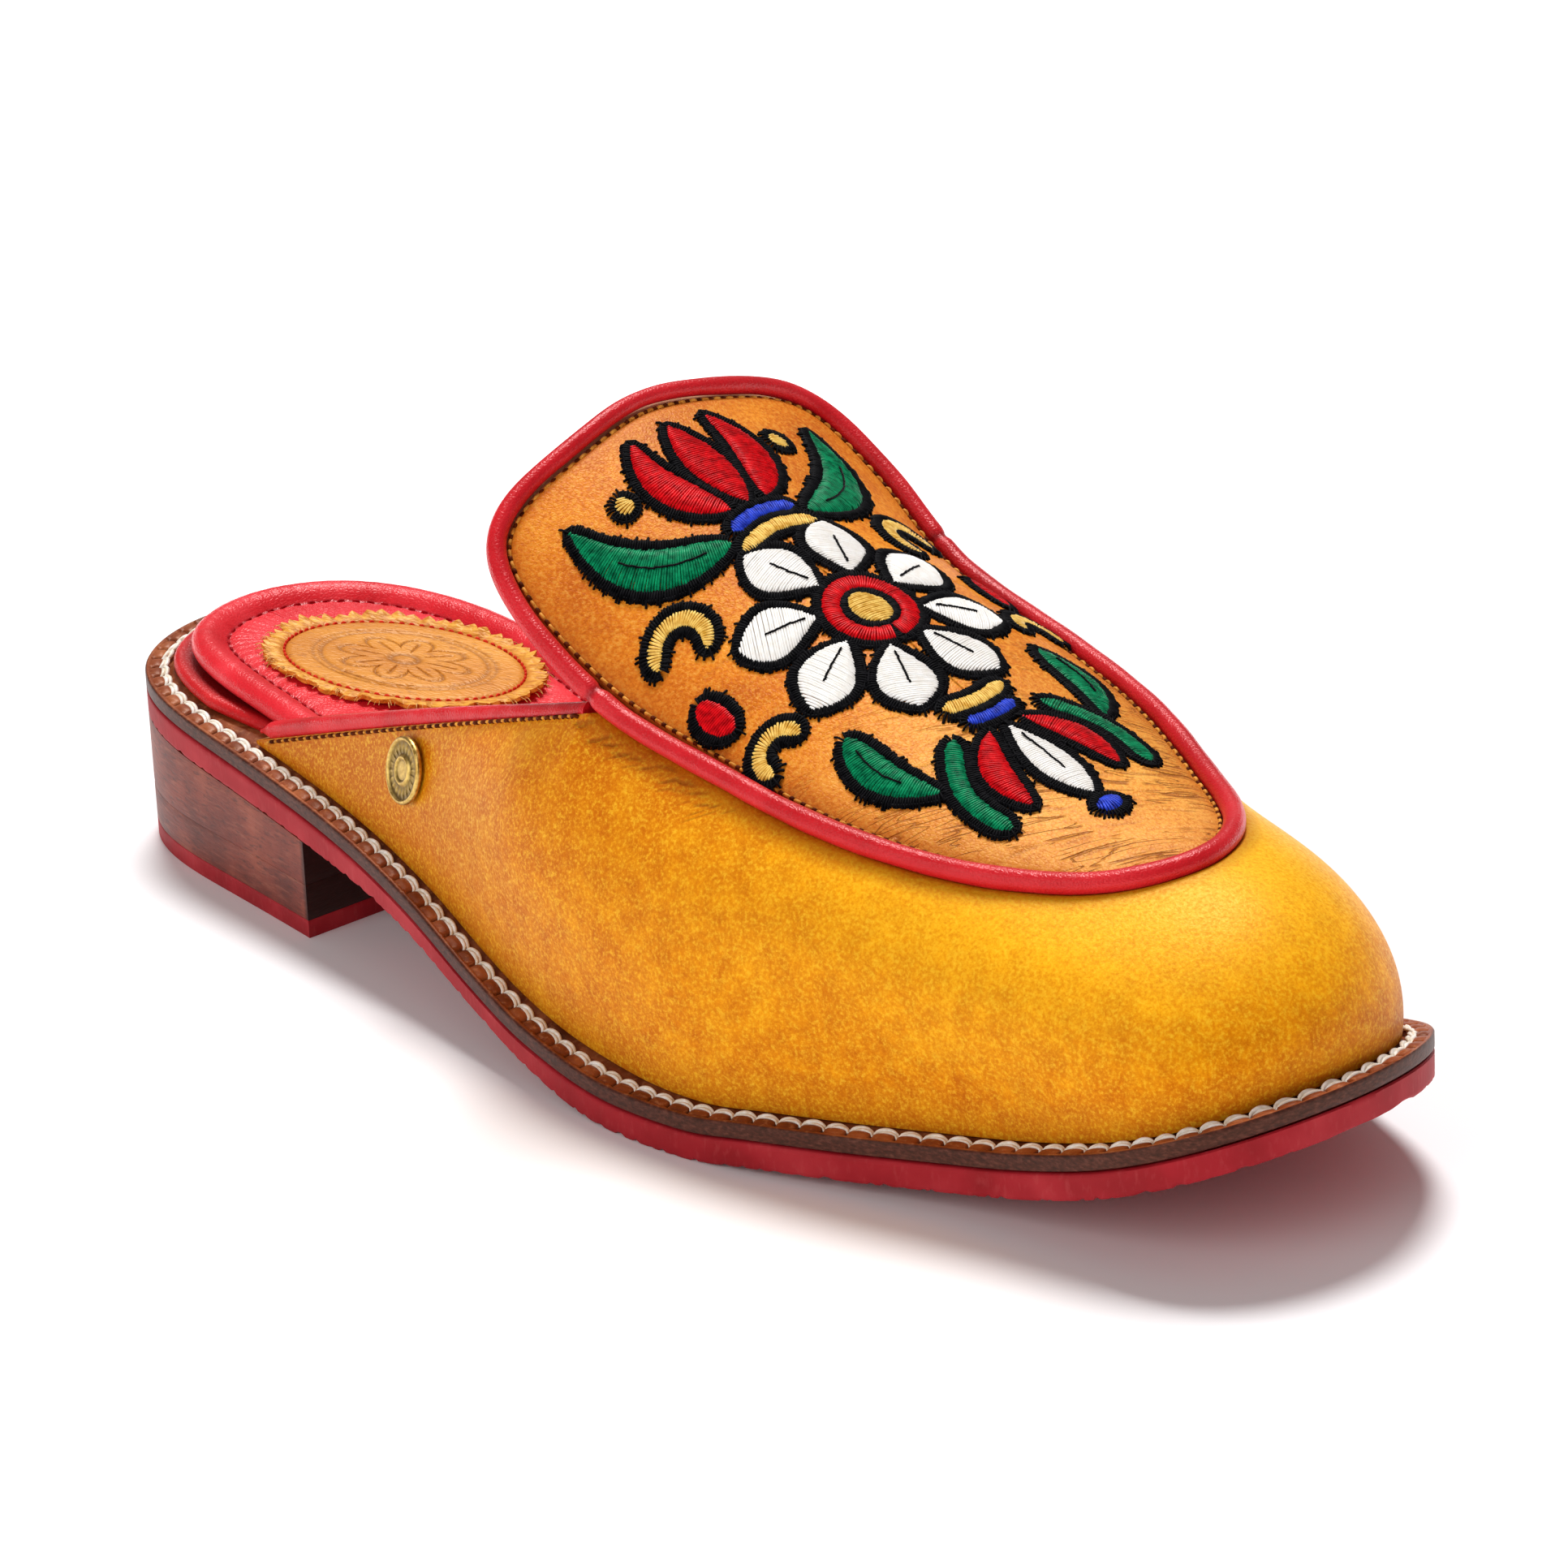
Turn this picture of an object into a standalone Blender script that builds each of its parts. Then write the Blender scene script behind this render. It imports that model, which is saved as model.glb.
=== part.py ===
"""Right-foot backless mule with a plug and tongue, in metres.

The shoe is laid out with x running from the back of the heel to the toe, y towards the
inside of the foot and z up from the floor.  The pieces are moved at the end so that the
middle of their bounding box stands over the origin.
"""
import bpy
import numpy as np

# Sole
LENGTH = 0.272               # back of the heel to the toe tip
BALL_WIDTH = 0.097           # across the ball of the foot
OUTSOLE_THICK = 0.0044
WELT_THICK = 0.0027
WELT_WIDTH = 0.0100
WELT_MARGIN = 0.0048         # welt that shows outside the upper
EDGE_ROUND = 0.0006
TOE_SPRING = 0.0192          # outsole's underside at the toe tip
ARCH_HEIGHT = 0.0062
WAIST_THIN = 0.0014          # how much thinner the outsole is under the arch
# Heel
HEEL_LENGTH = 0.0675
HEEL_BACK_HEIGHT = 0.0236    # outsole's underside at the back
HEEL_FRONT_HEIGHT = 0.0172   # outsole's underside at the heel's front face
TOP_LIFT_THICK = 0.0031
LOWER_LIFT_THICK = 0.0064
# Upper
WALL = 0.0024
LINING = 0.0014              # what stays of the wall under the plug
INSTEP_HEIGHT = 0.0953       # top of the tongue
THROAT = 0.1425              # where the topline meets the plug
QUARTER_END = 0.047          # where the topline runs out on the welt
QUARTER_END_HEIGHT = 0.0006
TOPLINE_BOW = 0.06           # how far the topline bows up, share of its rise
INNER_SHOULDER = 1.2         # how steeply the vamp leaves the plug on the inner side of the toe
# Plug and tongue
PLUG_THICK = 0.0012
PLUG_HALF_WIDTH = 0.0380
PLUG_OFFSET = 0.0041         # plug's middle line at the throat, towards the inside of the foot
PLUG_SKEW = -0.012           # turn of that line, sideways per unit of length
PLUG_TILT = 0.0027           # inner side of the plug above the outer side
PIPING = 0.0035              # cord diameter
PIPING_TAPER = 0.22          # how much thinner the cord is at the top of the tongue
BINDING_WIDTH = 0.0034
BINDING_HEIGHT = 0.0027
# Inside the heel
BASE_THICK = 0.0020
BASE_MARGIN = 0.0050
SOCK_LENGTH = 0.160
SOCK_MARGIN = 0.0080
SOCK_SETBACK = 0.0004        # extra margin at the back
SOCK_THICK = 0.0027
ROLL_HEIGHT = 0.0041
ROLL_WIDTH = 0.0063
PATCH_LENGTH = 0.050
PATCH_WIDTH = 0.0325
PATCH_THICK = 0.0012
PATCH_AT = (0.0478, 0.0040)
PATCH_TURN = 26.0            # degrees
# Rivet
RIVET_SIZE = 0.0115
RIVET_THICK = 0.0013
RIVET_AT = (0.0953, 0.0370)  # length and height
# Gap between neighbouring pieces
CLEARANCE = 0.0003

# Heights above the outsole's underside
OUTSOLE_TOP = OUTSOLE_THICK
WELT_BOTTOM = OUTSOLE_TOP + CLEARANCE
WELT_TOP = WELT_BOTTOM + WELT_THICK
UPPER_BOTTOM = WELT_TOP + CLEARANCE
BASE_TOP = UPPER_BOTTOM + BASE_THICK
SOCK_BOTTOM = BASE_TOP + CLEARANCE
SOCK_TOP = SOCK_BOTTOM + SOCK_THICK
# Depths below the plug's surface
RECESS = PLUG_THICK + CLEARANCE
GROOVE_HALF = PIPING / 2 + CLEARANCE

# Share of the length, share of the ball width towards the inside of the foot
SOLE_SHAPE = (
    (0.00, -0.013), (0.03, 0.232), (0.15, 0.385), (0.38, 0.311), (0.56, 0.394),
    (0.70, 0.489), (0.86, 0.398), (0.96, 0.290), (1.00, 0.060), (0.96, -0.265),
    (0.84, -0.345), (0.64, -0.501), (0.40, -0.427), (0.15, -0.326), (0.03, -0.218),
)
# Share of the length, height of the outsole's underside where it has its full thickness
SOLE_LINE = (
    (0.00, HEEL_BACK_HEIGHT), (HEEL_LENGTH / LENGTH, HEEL_FRONT_HEIGHT),
    (0.31, 0.86 * HEEL_FRONT_HEIGHT), (0.37, 0.66 * HEEL_FRONT_HEIGHT), (0.44, ARCH_HEIGHT),
    (0.51, 0.36 * ARCH_HEIGHT), (0.60, 0.0), (0.65, 0.0), (0.69, 0.05 * TOE_SPRING),
    (0.76, 0.125 * TOE_SPRING), (0.83, 0.25 * TOE_SPRING), (0.90, 0.49 * TOE_SPRING),
    (1.00, TOE_SPRING),
)
# Share of the length, how much thinner the outsole is there
SOLE_WAIST = (
    (0.00, 0.0), (HEEL_LENGTH / LENGTH, 0.0), (0.37, 0.8 * WAIST_THIN), (0.46, WAIST_THIN),
    (0.58, 0.0), (1.00, 0.0),
)
# Share of the length, share of the plug's half width: front point to the tongue's top
PLUG_SHAPE = (
    (0.878, 0.000), (0.861, 0.286), (0.809, 0.545), (0.720, 0.795), (0.621, 0.890),
    (0.530, 0.945), (0.460, 0.970), (0.433, 0.905), (0.420, 0.450), (0.415, 0.000),
)
# Share of the length, ridge height and fall at the plug's edge as shares of the instep height
PLUG_HEIGHT = (
    (0.40, 1.000, 0.111), (0.48, 0.902, 0.156), (0.55, 0.819, 0.201), (0.64, 0.728, 0.173),
    (0.74, 0.622, 0.134), (0.81, 0.565, 0.140), (0.90, 0.526, 0.187),
)
# Columns of the upper from the toe to the throat, then of the quarter and of the tongue
FRONT_COLUMNS = 26
QUARTER_COLUMNS = 12
TONGUE_COLUMNS = 14
WALL_ROWS = 8
PLUG_ROWS = 4
# Ends of the plug's middle line, in from its own edge
SPINE_FROM_TONGUE = 0.012
SPINE_FROM_TOE = 0.034


def spline(rows, closed=False):
    """Smooth curve through the rows, as a function of 0 to 1 along their chord length."""
    points = np.asarray(rows, float)
    if closed:
        points = np.vstack([points, points[:1]])
    at = np.r_[0, np.cumsum(np.linalg.norm(np.diff(points, axis=0), axis=1))]
    at /= at[-1]
    step = np.diff(at)
    slope = np.diff(points, axis=0) / step[:, None]
    last = len(at) - 1
    matrix = np.zeros((last + 1, last + 1))
    right = np.zeros_like(points)
    for i in range(1, last):
        matrix[i, i - 1:i + 2] = step[i - 1], 2 * (step[i - 1] + step[i]), step[i]
        right[i] = 6 * (slope[i] - slope[i - 1])
    if closed:
        matrix[0, 0], matrix[0, last] = 1, -1
        matrix[last, 0] = 2 * step[0]
        matrix[last, 1] = step[0]
        matrix[last, last - 1] = step[-1]
        matrix[last, last] = 2 * step[-1]
        right[last] = 6 * (slope[0] - slope[-1])
    else:
        matrix[0, 0] = matrix[last, last] = 1
    bend = np.linalg.solve(matrix, right)

    def curve(u):
        u = np.asarray(u, float)
        i = np.clip(np.searchsorted(at, u, side="right") - 1, 0, last - 1)
        a = ((at[i + 1] - u) / step[i])[:, None]
        b = 1 - a
        pull = (a ** 3 - a) * bend[i] + (b ** 3 - b) * bend[i + 1]
        return a * points[i] + b * points[i + 1] + pull * step[i][:, None] ** 2 / 6

    return curve


def level_line(rows):
    """Height over length through the rows, with no overshoot between them."""
    x, z = np.asarray(rows, float).T
    step = np.diff(x)
    slope = np.diff(z) / step
    lean = np.zeros(len(x))
    lean[0], lean[-1] = slope[0], slope[-1]
    for i in range(1, len(x) - 1):
        if slope[i - 1] * slope[i] > 0:
            lean[i] = 2 * slope[i - 1] * slope[i] / (slope[i - 1] + slope[i])

    def height(at):
        at = np.clip(np.asarray(at, float) / LENGTH, x[0], x[-1])
        i = np.clip(np.searchsorted(x, at, side="right") - 1, 0, len(x) - 2)
        u = (at - x[i]) / step[i]
        rise = u * u * (3 - 2 * u)
        start = u * (1 - u) ** 2 * lean[i] * step[i]
        end = u * u * (u - 1) * lean[i + 1] * step[i]
        return z[i] + (z[i + 1] - z[i]) * rise + start + end

    return height


def unit(vectors):
    return vectors / np.linalg.norm(vectors, axis=-1, keepdims=True)


def inward(points):
    """Unit side directions of a closed plan curve that runs clockwise, to its inside."""
    along = np.roll(points, -1, axis=0) - np.roll(points, 1, axis=0)
    return unit(np.stack([along[:, 1], -along[:, 0]], axis=1))


under = level_line(SOLE_LINE)
waist = level_line(SOLE_WAIST)
DENSE = 720
sole_edge = spline([(x * LENGTH, y * BALL_WIDTH) for x, y in SOLE_SHAPE], closed=True)
EDGE = sole_edge(np.linspace(0, 1, DENSE, endpoint=False))
EDGE_IN = inward(EDGE)


def halves(margin):
    """Inner and outer sides of the sole's outline, moved in by a margin, from heel to toe."""
    ring = EDGE + EDGE_IN * margin
    back = int(np.argmin(ring[:, 0]))
    ring = np.roll(ring, -back, axis=0)
    tip = int(np.argmax(ring[:, 0]))
    return ring[:tip + 1], np.vstack([ring[tip:], ring[:1]])[::-1]


def side_at(half, x):
    return np.interp(x, half[:, 0], half[:, 1])


def outline(margin, count, end=None):
    """Closed ring of plan points whose two sides share their stations along the length."""
    inner, outer = halves(margin)
    low = inner[0, 0]
    high = inner[-1, 0] if end is None else end
    station = low + (high - low) * (1 - np.cos(np.pi * np.arange(count + 1) / count)) / 2
    if end is not None:
        station = low + (high - low) * (1 - np.cos(np.pi / 2 * np.arange(count + 1) / count))
    upper_side = np.stack([station, side_at(inner, station)], axis=1)
    lower_side = np.stack([station, side_at(outer, station)], axis=1)
    closing = lower_side[:0:-1] if end is not None else lower_side[-2:0:-1]
    return np.vstack([upper_side, closing])


def offset(ring, margin):
    return ring + inward(ring) * margin


def lift(ring, height):
    """Plan ring set at a height above the outsole's underside, full thickness."""
    return np.column_stack([ring, under(ring[:, 0]) + height])


def hollowed(ring):
    """Ring of the outsole's underside, raised where the outsole is thinner."""
    return ring + np.outer(waist(ring[:, 0]), (0, 0, 1))


def cap(first, count, flip):
    """Faces across a ring whose two sides face each other, back point first."""
    faces = []
    half = count // 2 + count % 2
    for i in range(half):
        a, b = i, i + 1
        c, d = count - 1 - i, (count - i) % count
        corners = [first + k for k in dict.fromkeys((a, b, c, d))]
        if len(corners) > 2:
            faces.append(corners[::-1] if flip else corners)
    return faces


def stack(rings):
    """Closed solid through a pile of rings, lowest first."""
    count = len(rings[0])
    faces = cap(0, count, False)
    for level in range(len(rings) - 1):
        a, b = level * count, (level + 1) * count
        for i in range(count):
            j = (i + 1) % count
            faces.append([a + i, b + i, b + j, a + j])
    faces += cap((len(rings) - 1) * count, count, True)
    return np.vstack(rings), faces


def tube(rings, closed):
    """Solid swept through a row of rings, its ends joined or capped."""
    count = len(rings[0])
    total = len(rings)
    faces = []
    for k in range(total if closed else total - 1):
        a, b = k * count, (k + 1) % total * count
        for i in range(count):
            j = (i + 1) % count
            faces.append([a + i, a + j, b + j, b + i])
    if not closed:
        faces.append(list(range(count))[::-1])
        faces.append([(total - 1) * count + i for i in range(count)])
    return np.vstack(rings), faces


def thicken(outer, inner, partner, faces):
    """Closed solid from an open sheet and its inner side, joined along the open edges."""
    solid = [list(f) for f in faces]
    shift = len(outer)
    used = {}
    for face in faces:
        back = [shift + k for k in dict.fromkeys(partner[v] for v in face)]
        if len(back) > 2:
            solid.append(back[::-1])
        for a, b in zip(face, face[1:] + face[:1]):
            used[(a, b)] = True
    for a, b in used:
        if (b, a) not in used:
            rim = [b, a, shift + partner[a], shift + partner[b]]
            solid.append(list(dict.fromkeys(rim)))
    return np.vstack([outer, inner]), solid


# Plug and tongue
ridge = level_line([(x, h * INSTEP_HEIGHT) for x, h, _ in PLUG_HEIGHT])
fall = level_line([(x, f * INSTEP_HEIGHT) for x, _, f in PLUG_HEIGHT])


def middle(x):
    return PLUG_OFFSET + PLUG_SKEW * (x - THROAT)


def plug_surface(plan):
    """Points of the plug's surface over plan points, with their upward directions."""
    def height(x, y):
        side = (y - middle(x)) / PLUG_HALF_WIDTH
        return ridge(x) + PLUG_TILT * side - fall(x) * side * side

    x, y = plan[..., 0], plan[..., 1]
    small = 0.0005
    down_x = (height(x - small, y) - height(x + small, y)) / (2 * small)
    down_y = (height(x, y - small) - height(x, y + small)) / (2 * small)
    normal = unit(np.stack([down_x, down_y, np.ones_like(x)], axis=-1))
    return np.stack([x, y, height(x, y)], axis=-1), normal


plug_half = [(x * LENGTH, w * PLUG_HALF_WIDTH) for x, w in PLUG_SHAPE]
plug_round = spline(plug_half + [(x, -w) for x, w in plug_half[-2:0:-1]], closed=True)
PLUG_EDGE = plug_round(np.linspace(0, 1, DENSE, endpoint=False))[::-1]
PLUG_EDGE = np.roll(PLUG_EDGE, 1, axis=0)
PLUG_IN = inward(PLUG_EDGE)


def plug_edge(share, spread):
    """Plan points round the plug: 0 at its front, 1 or -1 at the middle of the tongue's top."""
    ring = PLUG_EDGE - PLUG_IN * spread
    place = np.asarray(share) * -DENSE / 2
    x, w = (np.interp(place, np.arange(DENSE + 1), np.r_[c, c[0]], period=DENSE)
            for c in ring.T)
    return np.stack([x, middle(x) + w], axis=-1)


def throat_share():
    share = np.linspace(0.2, 0.9, 400)
    return float(np.interp(-THROAT, -plug_edge(share, 0.0)[:, 0], share))


SHARE_AT_THROAT = throat_share()


# Upper's walls
def feather(a):
    """Foot of the wall on the welt and its outward direction; 0 toe, 1 throat, 2 back end."""
    point, out = np.zeros((len(a), 3)), np.zeros((len(a), 3))
    for half, side in zip(halves(WELT_MARGIN), (1, -1)):
        line = half[::-1]
        run = np.r_[0, np.cumsum(np.linalg.norm(np.diff(line, axis=0), axis=1))]
        stops = np.interp((-THROAT, -QUARTER_END), -line[:, 0], run)
        chosen = (np.sign(a) == side) | ((a == 0) & (side == 1))
        at = np.interp(np.abs(a[chosen]), (0, 1, 2), (0, *stops))
        place = np.stack([np.interp(at, run, c) for c in line.T], axis=1)
        ahead = np.stack([np.interp(at + 0.002, run, c) for c in line.T], axis=1)
        behind = np.stack([np.interp(at - 0.002, run, c) for c in line.T], axis=1)
        along = ahead - behind
        out[chosen, :2] = unit(np.stack([along[:, 1], -along[:, 0]], axis=1)) * side
        point[chosen, :2] = place
    out[a == 0] = (1, 0, 0)
    point[:, 2] = under(point[:, 0]) + UPPER_BOTTOM
    return point, out


def wall_top(a):
    """Top of the wall: along the plug as far as the throat, then down the topline."""
    front = np.clip(a, -1, 1) * SHARE_AT_THROAT
    plan = plug_edge(front, GROOVE_HALF)
    point, normal = plug_surface(plan)
    out = plan - plug_edge(front, 0.0)
    out = unit(np.column_stack([out, np.zeros(len(a))]))
    drop = (out * normal).sum(axis=1, keepdims=True)
    down = unit(out - normal * drop)
    behind = np.abs(a) > 1
    if behind.any():
        share = 2 - np.abs(a[behind])
        foot, _ = feather(a[behind])
        foot_at_throat, _ = feather(np.sign(a[behind]))
        start = point[behind]
        rise = share + TOPLINE_BOW * share * (1 - share)
        end = under(QUARTER_END) + UPPER_BOTTOM + QUARTER_END_HEIGHT
        lean = (start - foot_at_throat) * share[:, None] ** 1.5
        point[behind, :2] = foot[:, :2] + lean[:, :2]
        point[behind, 2] = end + (start[:, 2] - end) * rise
        down[behind] = unit(down[behind] * share[:, None] ** 2 + (0, 0, -1) * (1 - share[:, None]))
    return point, down


def wall(a, t):
    """Outer surface of the vamp and quarters: a round the shoe, t up from the welt."""
    a = np.asarray(a, float)
    foot, out = feather(a)
    top, down = wall_top(a)
    reach = np.linalg.norm(top - foot, axis=1, keepdims=True)
    inner_side = np.clip(a * 2.5, 0, 1)[:, None]
    toe = np.clip(1 - np.abs(a) * 2, 0, 1)[:, None]
    lean = 0.10 - 0.05 * np.clip(np.abs(a) - 1, 0, 1)[:, None] + 0.06 * toe
    shoulder = np.exp(-((a - 0.40) / 0.15) ** 2)[:, None]
    down = unit(down - np.array((0, 0, INNER_SHOULDER)) * shoulder)
    first = foot + 0.42 * reach * (out * lean + (0, 0, 1))
    second = top + (0.40 - 0.25 * inner_side) * reach * down
    t = np.asarray(t, float)[:, None]
    return ((1 - t) ** 3 * foot + 3 * (1 - t) ** 2 * t * first
            + 3 * (1 - t) * t * t * second + t ** 3 * top)


def wall_normal(a, t):
    small = 0.01
    low, high = np.clip(t - small, 0, 1), np.clip(t + small, 0, 1)
    limit = np.where(np.abs(a) > 1, 2, 1)
    left, right = np.clip(a - small, -limit, limit), np.clip(a + small, -limit, limit)
    across = wall(right, t) - wall(left, t)
    up = wall(a, high) - wall(a, low)
    return unit(np.cross(across, up))


def plug_net(spread, rows):
    """Plan net of the plug: columns from its edge in to the ridge, shared by both sides."""
    front = np.linspace(0, SHARE_AT_THROAT, FRONT_COLUMNS + 1)
    tongue = np.linspace(SHARE_AT_THROAT, 1, TONGUE_COLUMNS + 1)[1:]
    half = np.r_[front, tongue]
    share = np.r_[half, -half[-2:0:-1]]
    edge = plug_edge(share, spread)
    low, high = edge[:, 0].min(), edge[:, 0].max()
    spine_low, spine_high = low + SPINE_FROM_TONGUE, high - SPINE_FROM_TOE
    x = spine_low + (spine_high - spine_low) * (edge[:, 0] - low) / (high - low)
    spine = np.stack([x, middle(x)], axis=1)
    step = np.linspace(0, 1, rows + 1)[:, None, None]
    return edge + (spine - edge) * step, share


def net_faces(columns, rows, index):
    faces = []
    for j in range(rows):
        for i in range(columns):
            k = (i + 1) % columns
            face = (index(i, j), index(k, j), index(k, j + 1), index(i, j + 1))
            face = list(dict.fromkeys(face))
            if len(face) > 2:
                faces.append(face)
    return faces


def shared(columns, rows):
    """Vertex numbers of a plug net whose last row is shared by the two sides."""
    def index(i, j):
        if j == rows and i > columns // 2:
            i = columns - i
        return j * columns + i
    return index


def build_plug():
    net, _ = plug_net(-GROOVE_HALF, PLUG_ROWS)
    rows, columns = net.shape[0] - 1, net.shape[1]
    surface, normal = plug_surface(net.reshape(-1, 2))
    faces = net_faces(columns, rows, shared(columns, rows))
    return thicken(surface, surface - normal * PLUG_THICK, range(len(surface)), faces)


def build_upper():
    front = np.linspace(0, 1, FRONT_COLUMNS + 1)
    quarter = np.linspace(1, 2, QUARTER_COLUMNS + 1)[1:]
    half = np.r_[front, quarter]
    a = np.r_[-half[::-1], half[1:]]
    t = np.linspace(0, 1, WALL_ROWS + 1)
    grid_a, grid_t = np.meshgrid(a, t)
    grid_a, grid_t = grid_a.ravel(), grid_t.ravel()
    walls = wall(grid_a, grid_t)
    out = wall_normal(grid_a, grid_t)
    foot = grid_t == 0
    out[foot, 2] = 0
    out = unit(out)
    across = len(a)
    wall_faces = []
    for j in range(WALL_ROWS):
        for i in range(across - 1):
            p = j * across + i
            wall_faces.append([p, p + across, p + across + 1, p + 1])

    net, share = plug_net(GROOVE_HALF, PLUG_ROWS)
    tongue = np.abs(share) > SHARE_AT_THROAT + 1e-9
    free, _ = plug_net(PIPING / 4, PLUG_ROWS)
    net[:, tongue] = free[:, tongue]
    rows, columns = net.shape[0] - 1, net.shape[1]
    sheet, up = plug_surface(net.reshape(-1, 2))
    base = len(walls)
    number = shared(columns, rows)
    sheet_faces = [[base + v for v in reversed(f)] for f in net_faces(columns, rows, number)]

    outer = np.vstack([walls, sheet - up * RECESS])
    inner = np.vstack([walls - out * WALL, sheet - up * (RECESS + LINING)])
    partner = list(range(len(outer)))
    top = WALL_ROWS * across
    step_faces = []
    joined = []
    for k in range(-FRONT_COLUMNS, FRONT_COLUMNS + 1):
        wall_vertex = top + k + across // 2
        sheet_vertex = base + k % columns
        joined.append((wall_vertex, sheet_vertex))
        partner[wall_vertex] = sheet_vertex
    for (w0, s0), (w1, s1) in zip(joined, joined[1:]):
        step_faces.append([w0, s0, s1, w1])
    return thicken(outer, inner, partner, wall_faces + step_faces + sheet_faces)


def ring_section(centres, side, up, width, height, points, turn=0.0):
    """Oval rings round a row of centres, given their two directions and sizes."""
    angle = 2 * np.pi * (np.arange(points) + turn) / points
    c, s = np.cos(angle)[:, None], np.sin(angle)[:, None]
    width, height = np.broadcast_to(width, len(centres)), np.broadcast_to(height, len(centres))
    return [centre + across * c * w / 2 + rise * s * h / 2
            for centre, across, rise, w, h in zip(centres, side, up, width, height)]


def build_piping():
    _, share = plug_net(0.0, 1)
    plan = plug_edge(share, 0.0)
    surface, up = plug_surface(plan)
    centres = surface + up * (PIPING / 2 + CLEARANCE - RECESS)
    along = unit(np.roll(centres, -1, axis=0) - np.roll(centres, 1, axis=0))
    side = unit(np.cross(along, up))
    on_tongue = np.clip((np.abs(share) - SHARE_AT_THROAT) / (1 - SHARE_AT_THROAT), 0, 1)
    size = PIPING * (1 - PIPING_TAPER * on_tongue)
    return tube(ring_section(centres, side, np.cross(side, along), size, size, 8, 0.5), True)


def build_binding(side):
    a = np.linspace(1.06, 1.99, 22) * side
    top, down = wall_top(a)
    out = wall_normal(a, np.ones(len(a)))
    along = unit(np.gradient(top, axis=0))
    up = unit(np.cross(along, out)) * side
    up *= np.sign(up[:, 2:3])
    centres = top - out * WALL / 2 + up * (BINDING_HEIGHT / 2 + CLEARANCE)
    rings = ring_section(centres, out, up, BINDING_WIDTH, BINDING_HEIGHT, 8, 0.5)
    return tube(rings, False)


def build_base():
    """Board wrapped in leather: a filler inside the welt and a flange over it."""
    count = 36
    filler = outline(WELT_WIDTH + 2 * CLEARANCE, count)
    wide = outline(BASE_MARGIN, count)
    narrow = outline(WELT_MARGIN + WALL + 0.0006, count)
    share = np.clip((QUARTER_END - 0.004 - wide[:, :1]) / 0.012, 0, 1)
    rim = narrow + (wide - narrow) * share
    under_rim = offset(rim, CLEARANCE)
    return stack([
        lift(filler, OUTSOLE_TOP + CLEARANCE),
        lift(filler, WELT_TOP + CLEARANCE),
        lift(under_rim, UPPER_BOTTOM),
        lift(rim, UPPER_BOTTOM + 0.3 * BASE_THICK),
        lift(rim, UPPER_BOTTOM + 0.7 * BASE_THICK),
        lift(offset(rim, 0.0012), BASE_TOP),
    ])


def build_sock():
    """Padded cover with a thick rolled edge round a flat middle."""
    plan = outline(SOCK_MARGIN, 30)
    low, high = plan[:, 0].min(), plan[:, 0].max()
    reach = (plan[:, 0] - low) / (high - low)
    x = low + SOCK_SETBACK + (SOCK_LENGTH - low - SOCK_SETBACK) * reach
    inner, outer = halves(SOCK_MARGIN)
    width_at = low + (x - low - SOCK_SETBACK) * (high - low) / (high - low - SOCK_SETBACK)
    near, far = side_at(inner, width_at), side_at(outer, width_at)
    y = np.where(np.arange(len(plan)) <= len(plan) // 2, near, far)
    centre = (near + far) / 2
    closing = np.sqrt(np.clip(1 - ((reach - 0.75) / 0.25).clip(0, 1) ** 2, 0, 1))
    ring = np.column_stack([x, centre + (y - centre) * closing])
    return stack([
        lift(offset(ring, 0.16 * ROLL_WIDTH), SOCK_BOTTOM),
        lift(ring, SOCK_BOTTOM + 0.35 * ROLL_HEIGHT),
        lift(offset(ring, 0.10 * ROLL_WIDTH), SOCK_BOTTOM + 0.75 * ROLL_HEIGHT),
        lift(offset(ring, 0.42 * ROLL_WIDTH), SOCK_BOTTOM + ROLL_HEIGHT),
        lift(offset(ring, 0.78 * ROLL_WIDTH), SOCK_BOTTOM + 0.84 * ROLL_HEIGHT),
        lift(offset(ring, ROLL_WIDTH), SOCK_TOP),
    ])


def build_patch():
    angle = -2 * np.pi * np.arange(40) / 40 + np.pi
    turn = np.radians(PATCH_TURN)
    oval = np.column_stack([np.cos(angle) * PATCH_LENGTH / 2, np.sin(angle) * PATCH_WIDTH / 2])
    turned = oval @ np.array([[np.cos(turn), np.sin(turn)], [-np.sin(turn), np.cos(turn)]])
    ring = turned + PATCH_AT
    return stack([
        lift(ring, SOCK_TOP + CLEARANCE),
        lift(ring, SOCK_TOP + CLEARANCE + 0.6 * PATCH_THICK),
        lift(offset(ring, 0.0005), SOCK_TOP + CLEARANCE + PATCH_THICK),
    ])


def build_heel(bottom, top, slanted):
    ring = outline(0.0, 24, end=HEEL_LENGTH)
    low = np.column_stack([ring, np.full(len(ring), bottom)])
    high = np.column_stack([ring, np.full(len(ring), top)])
    if slanted:
        high = lift(ring, -CLEARANCE)
    return stack([low, high])


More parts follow.
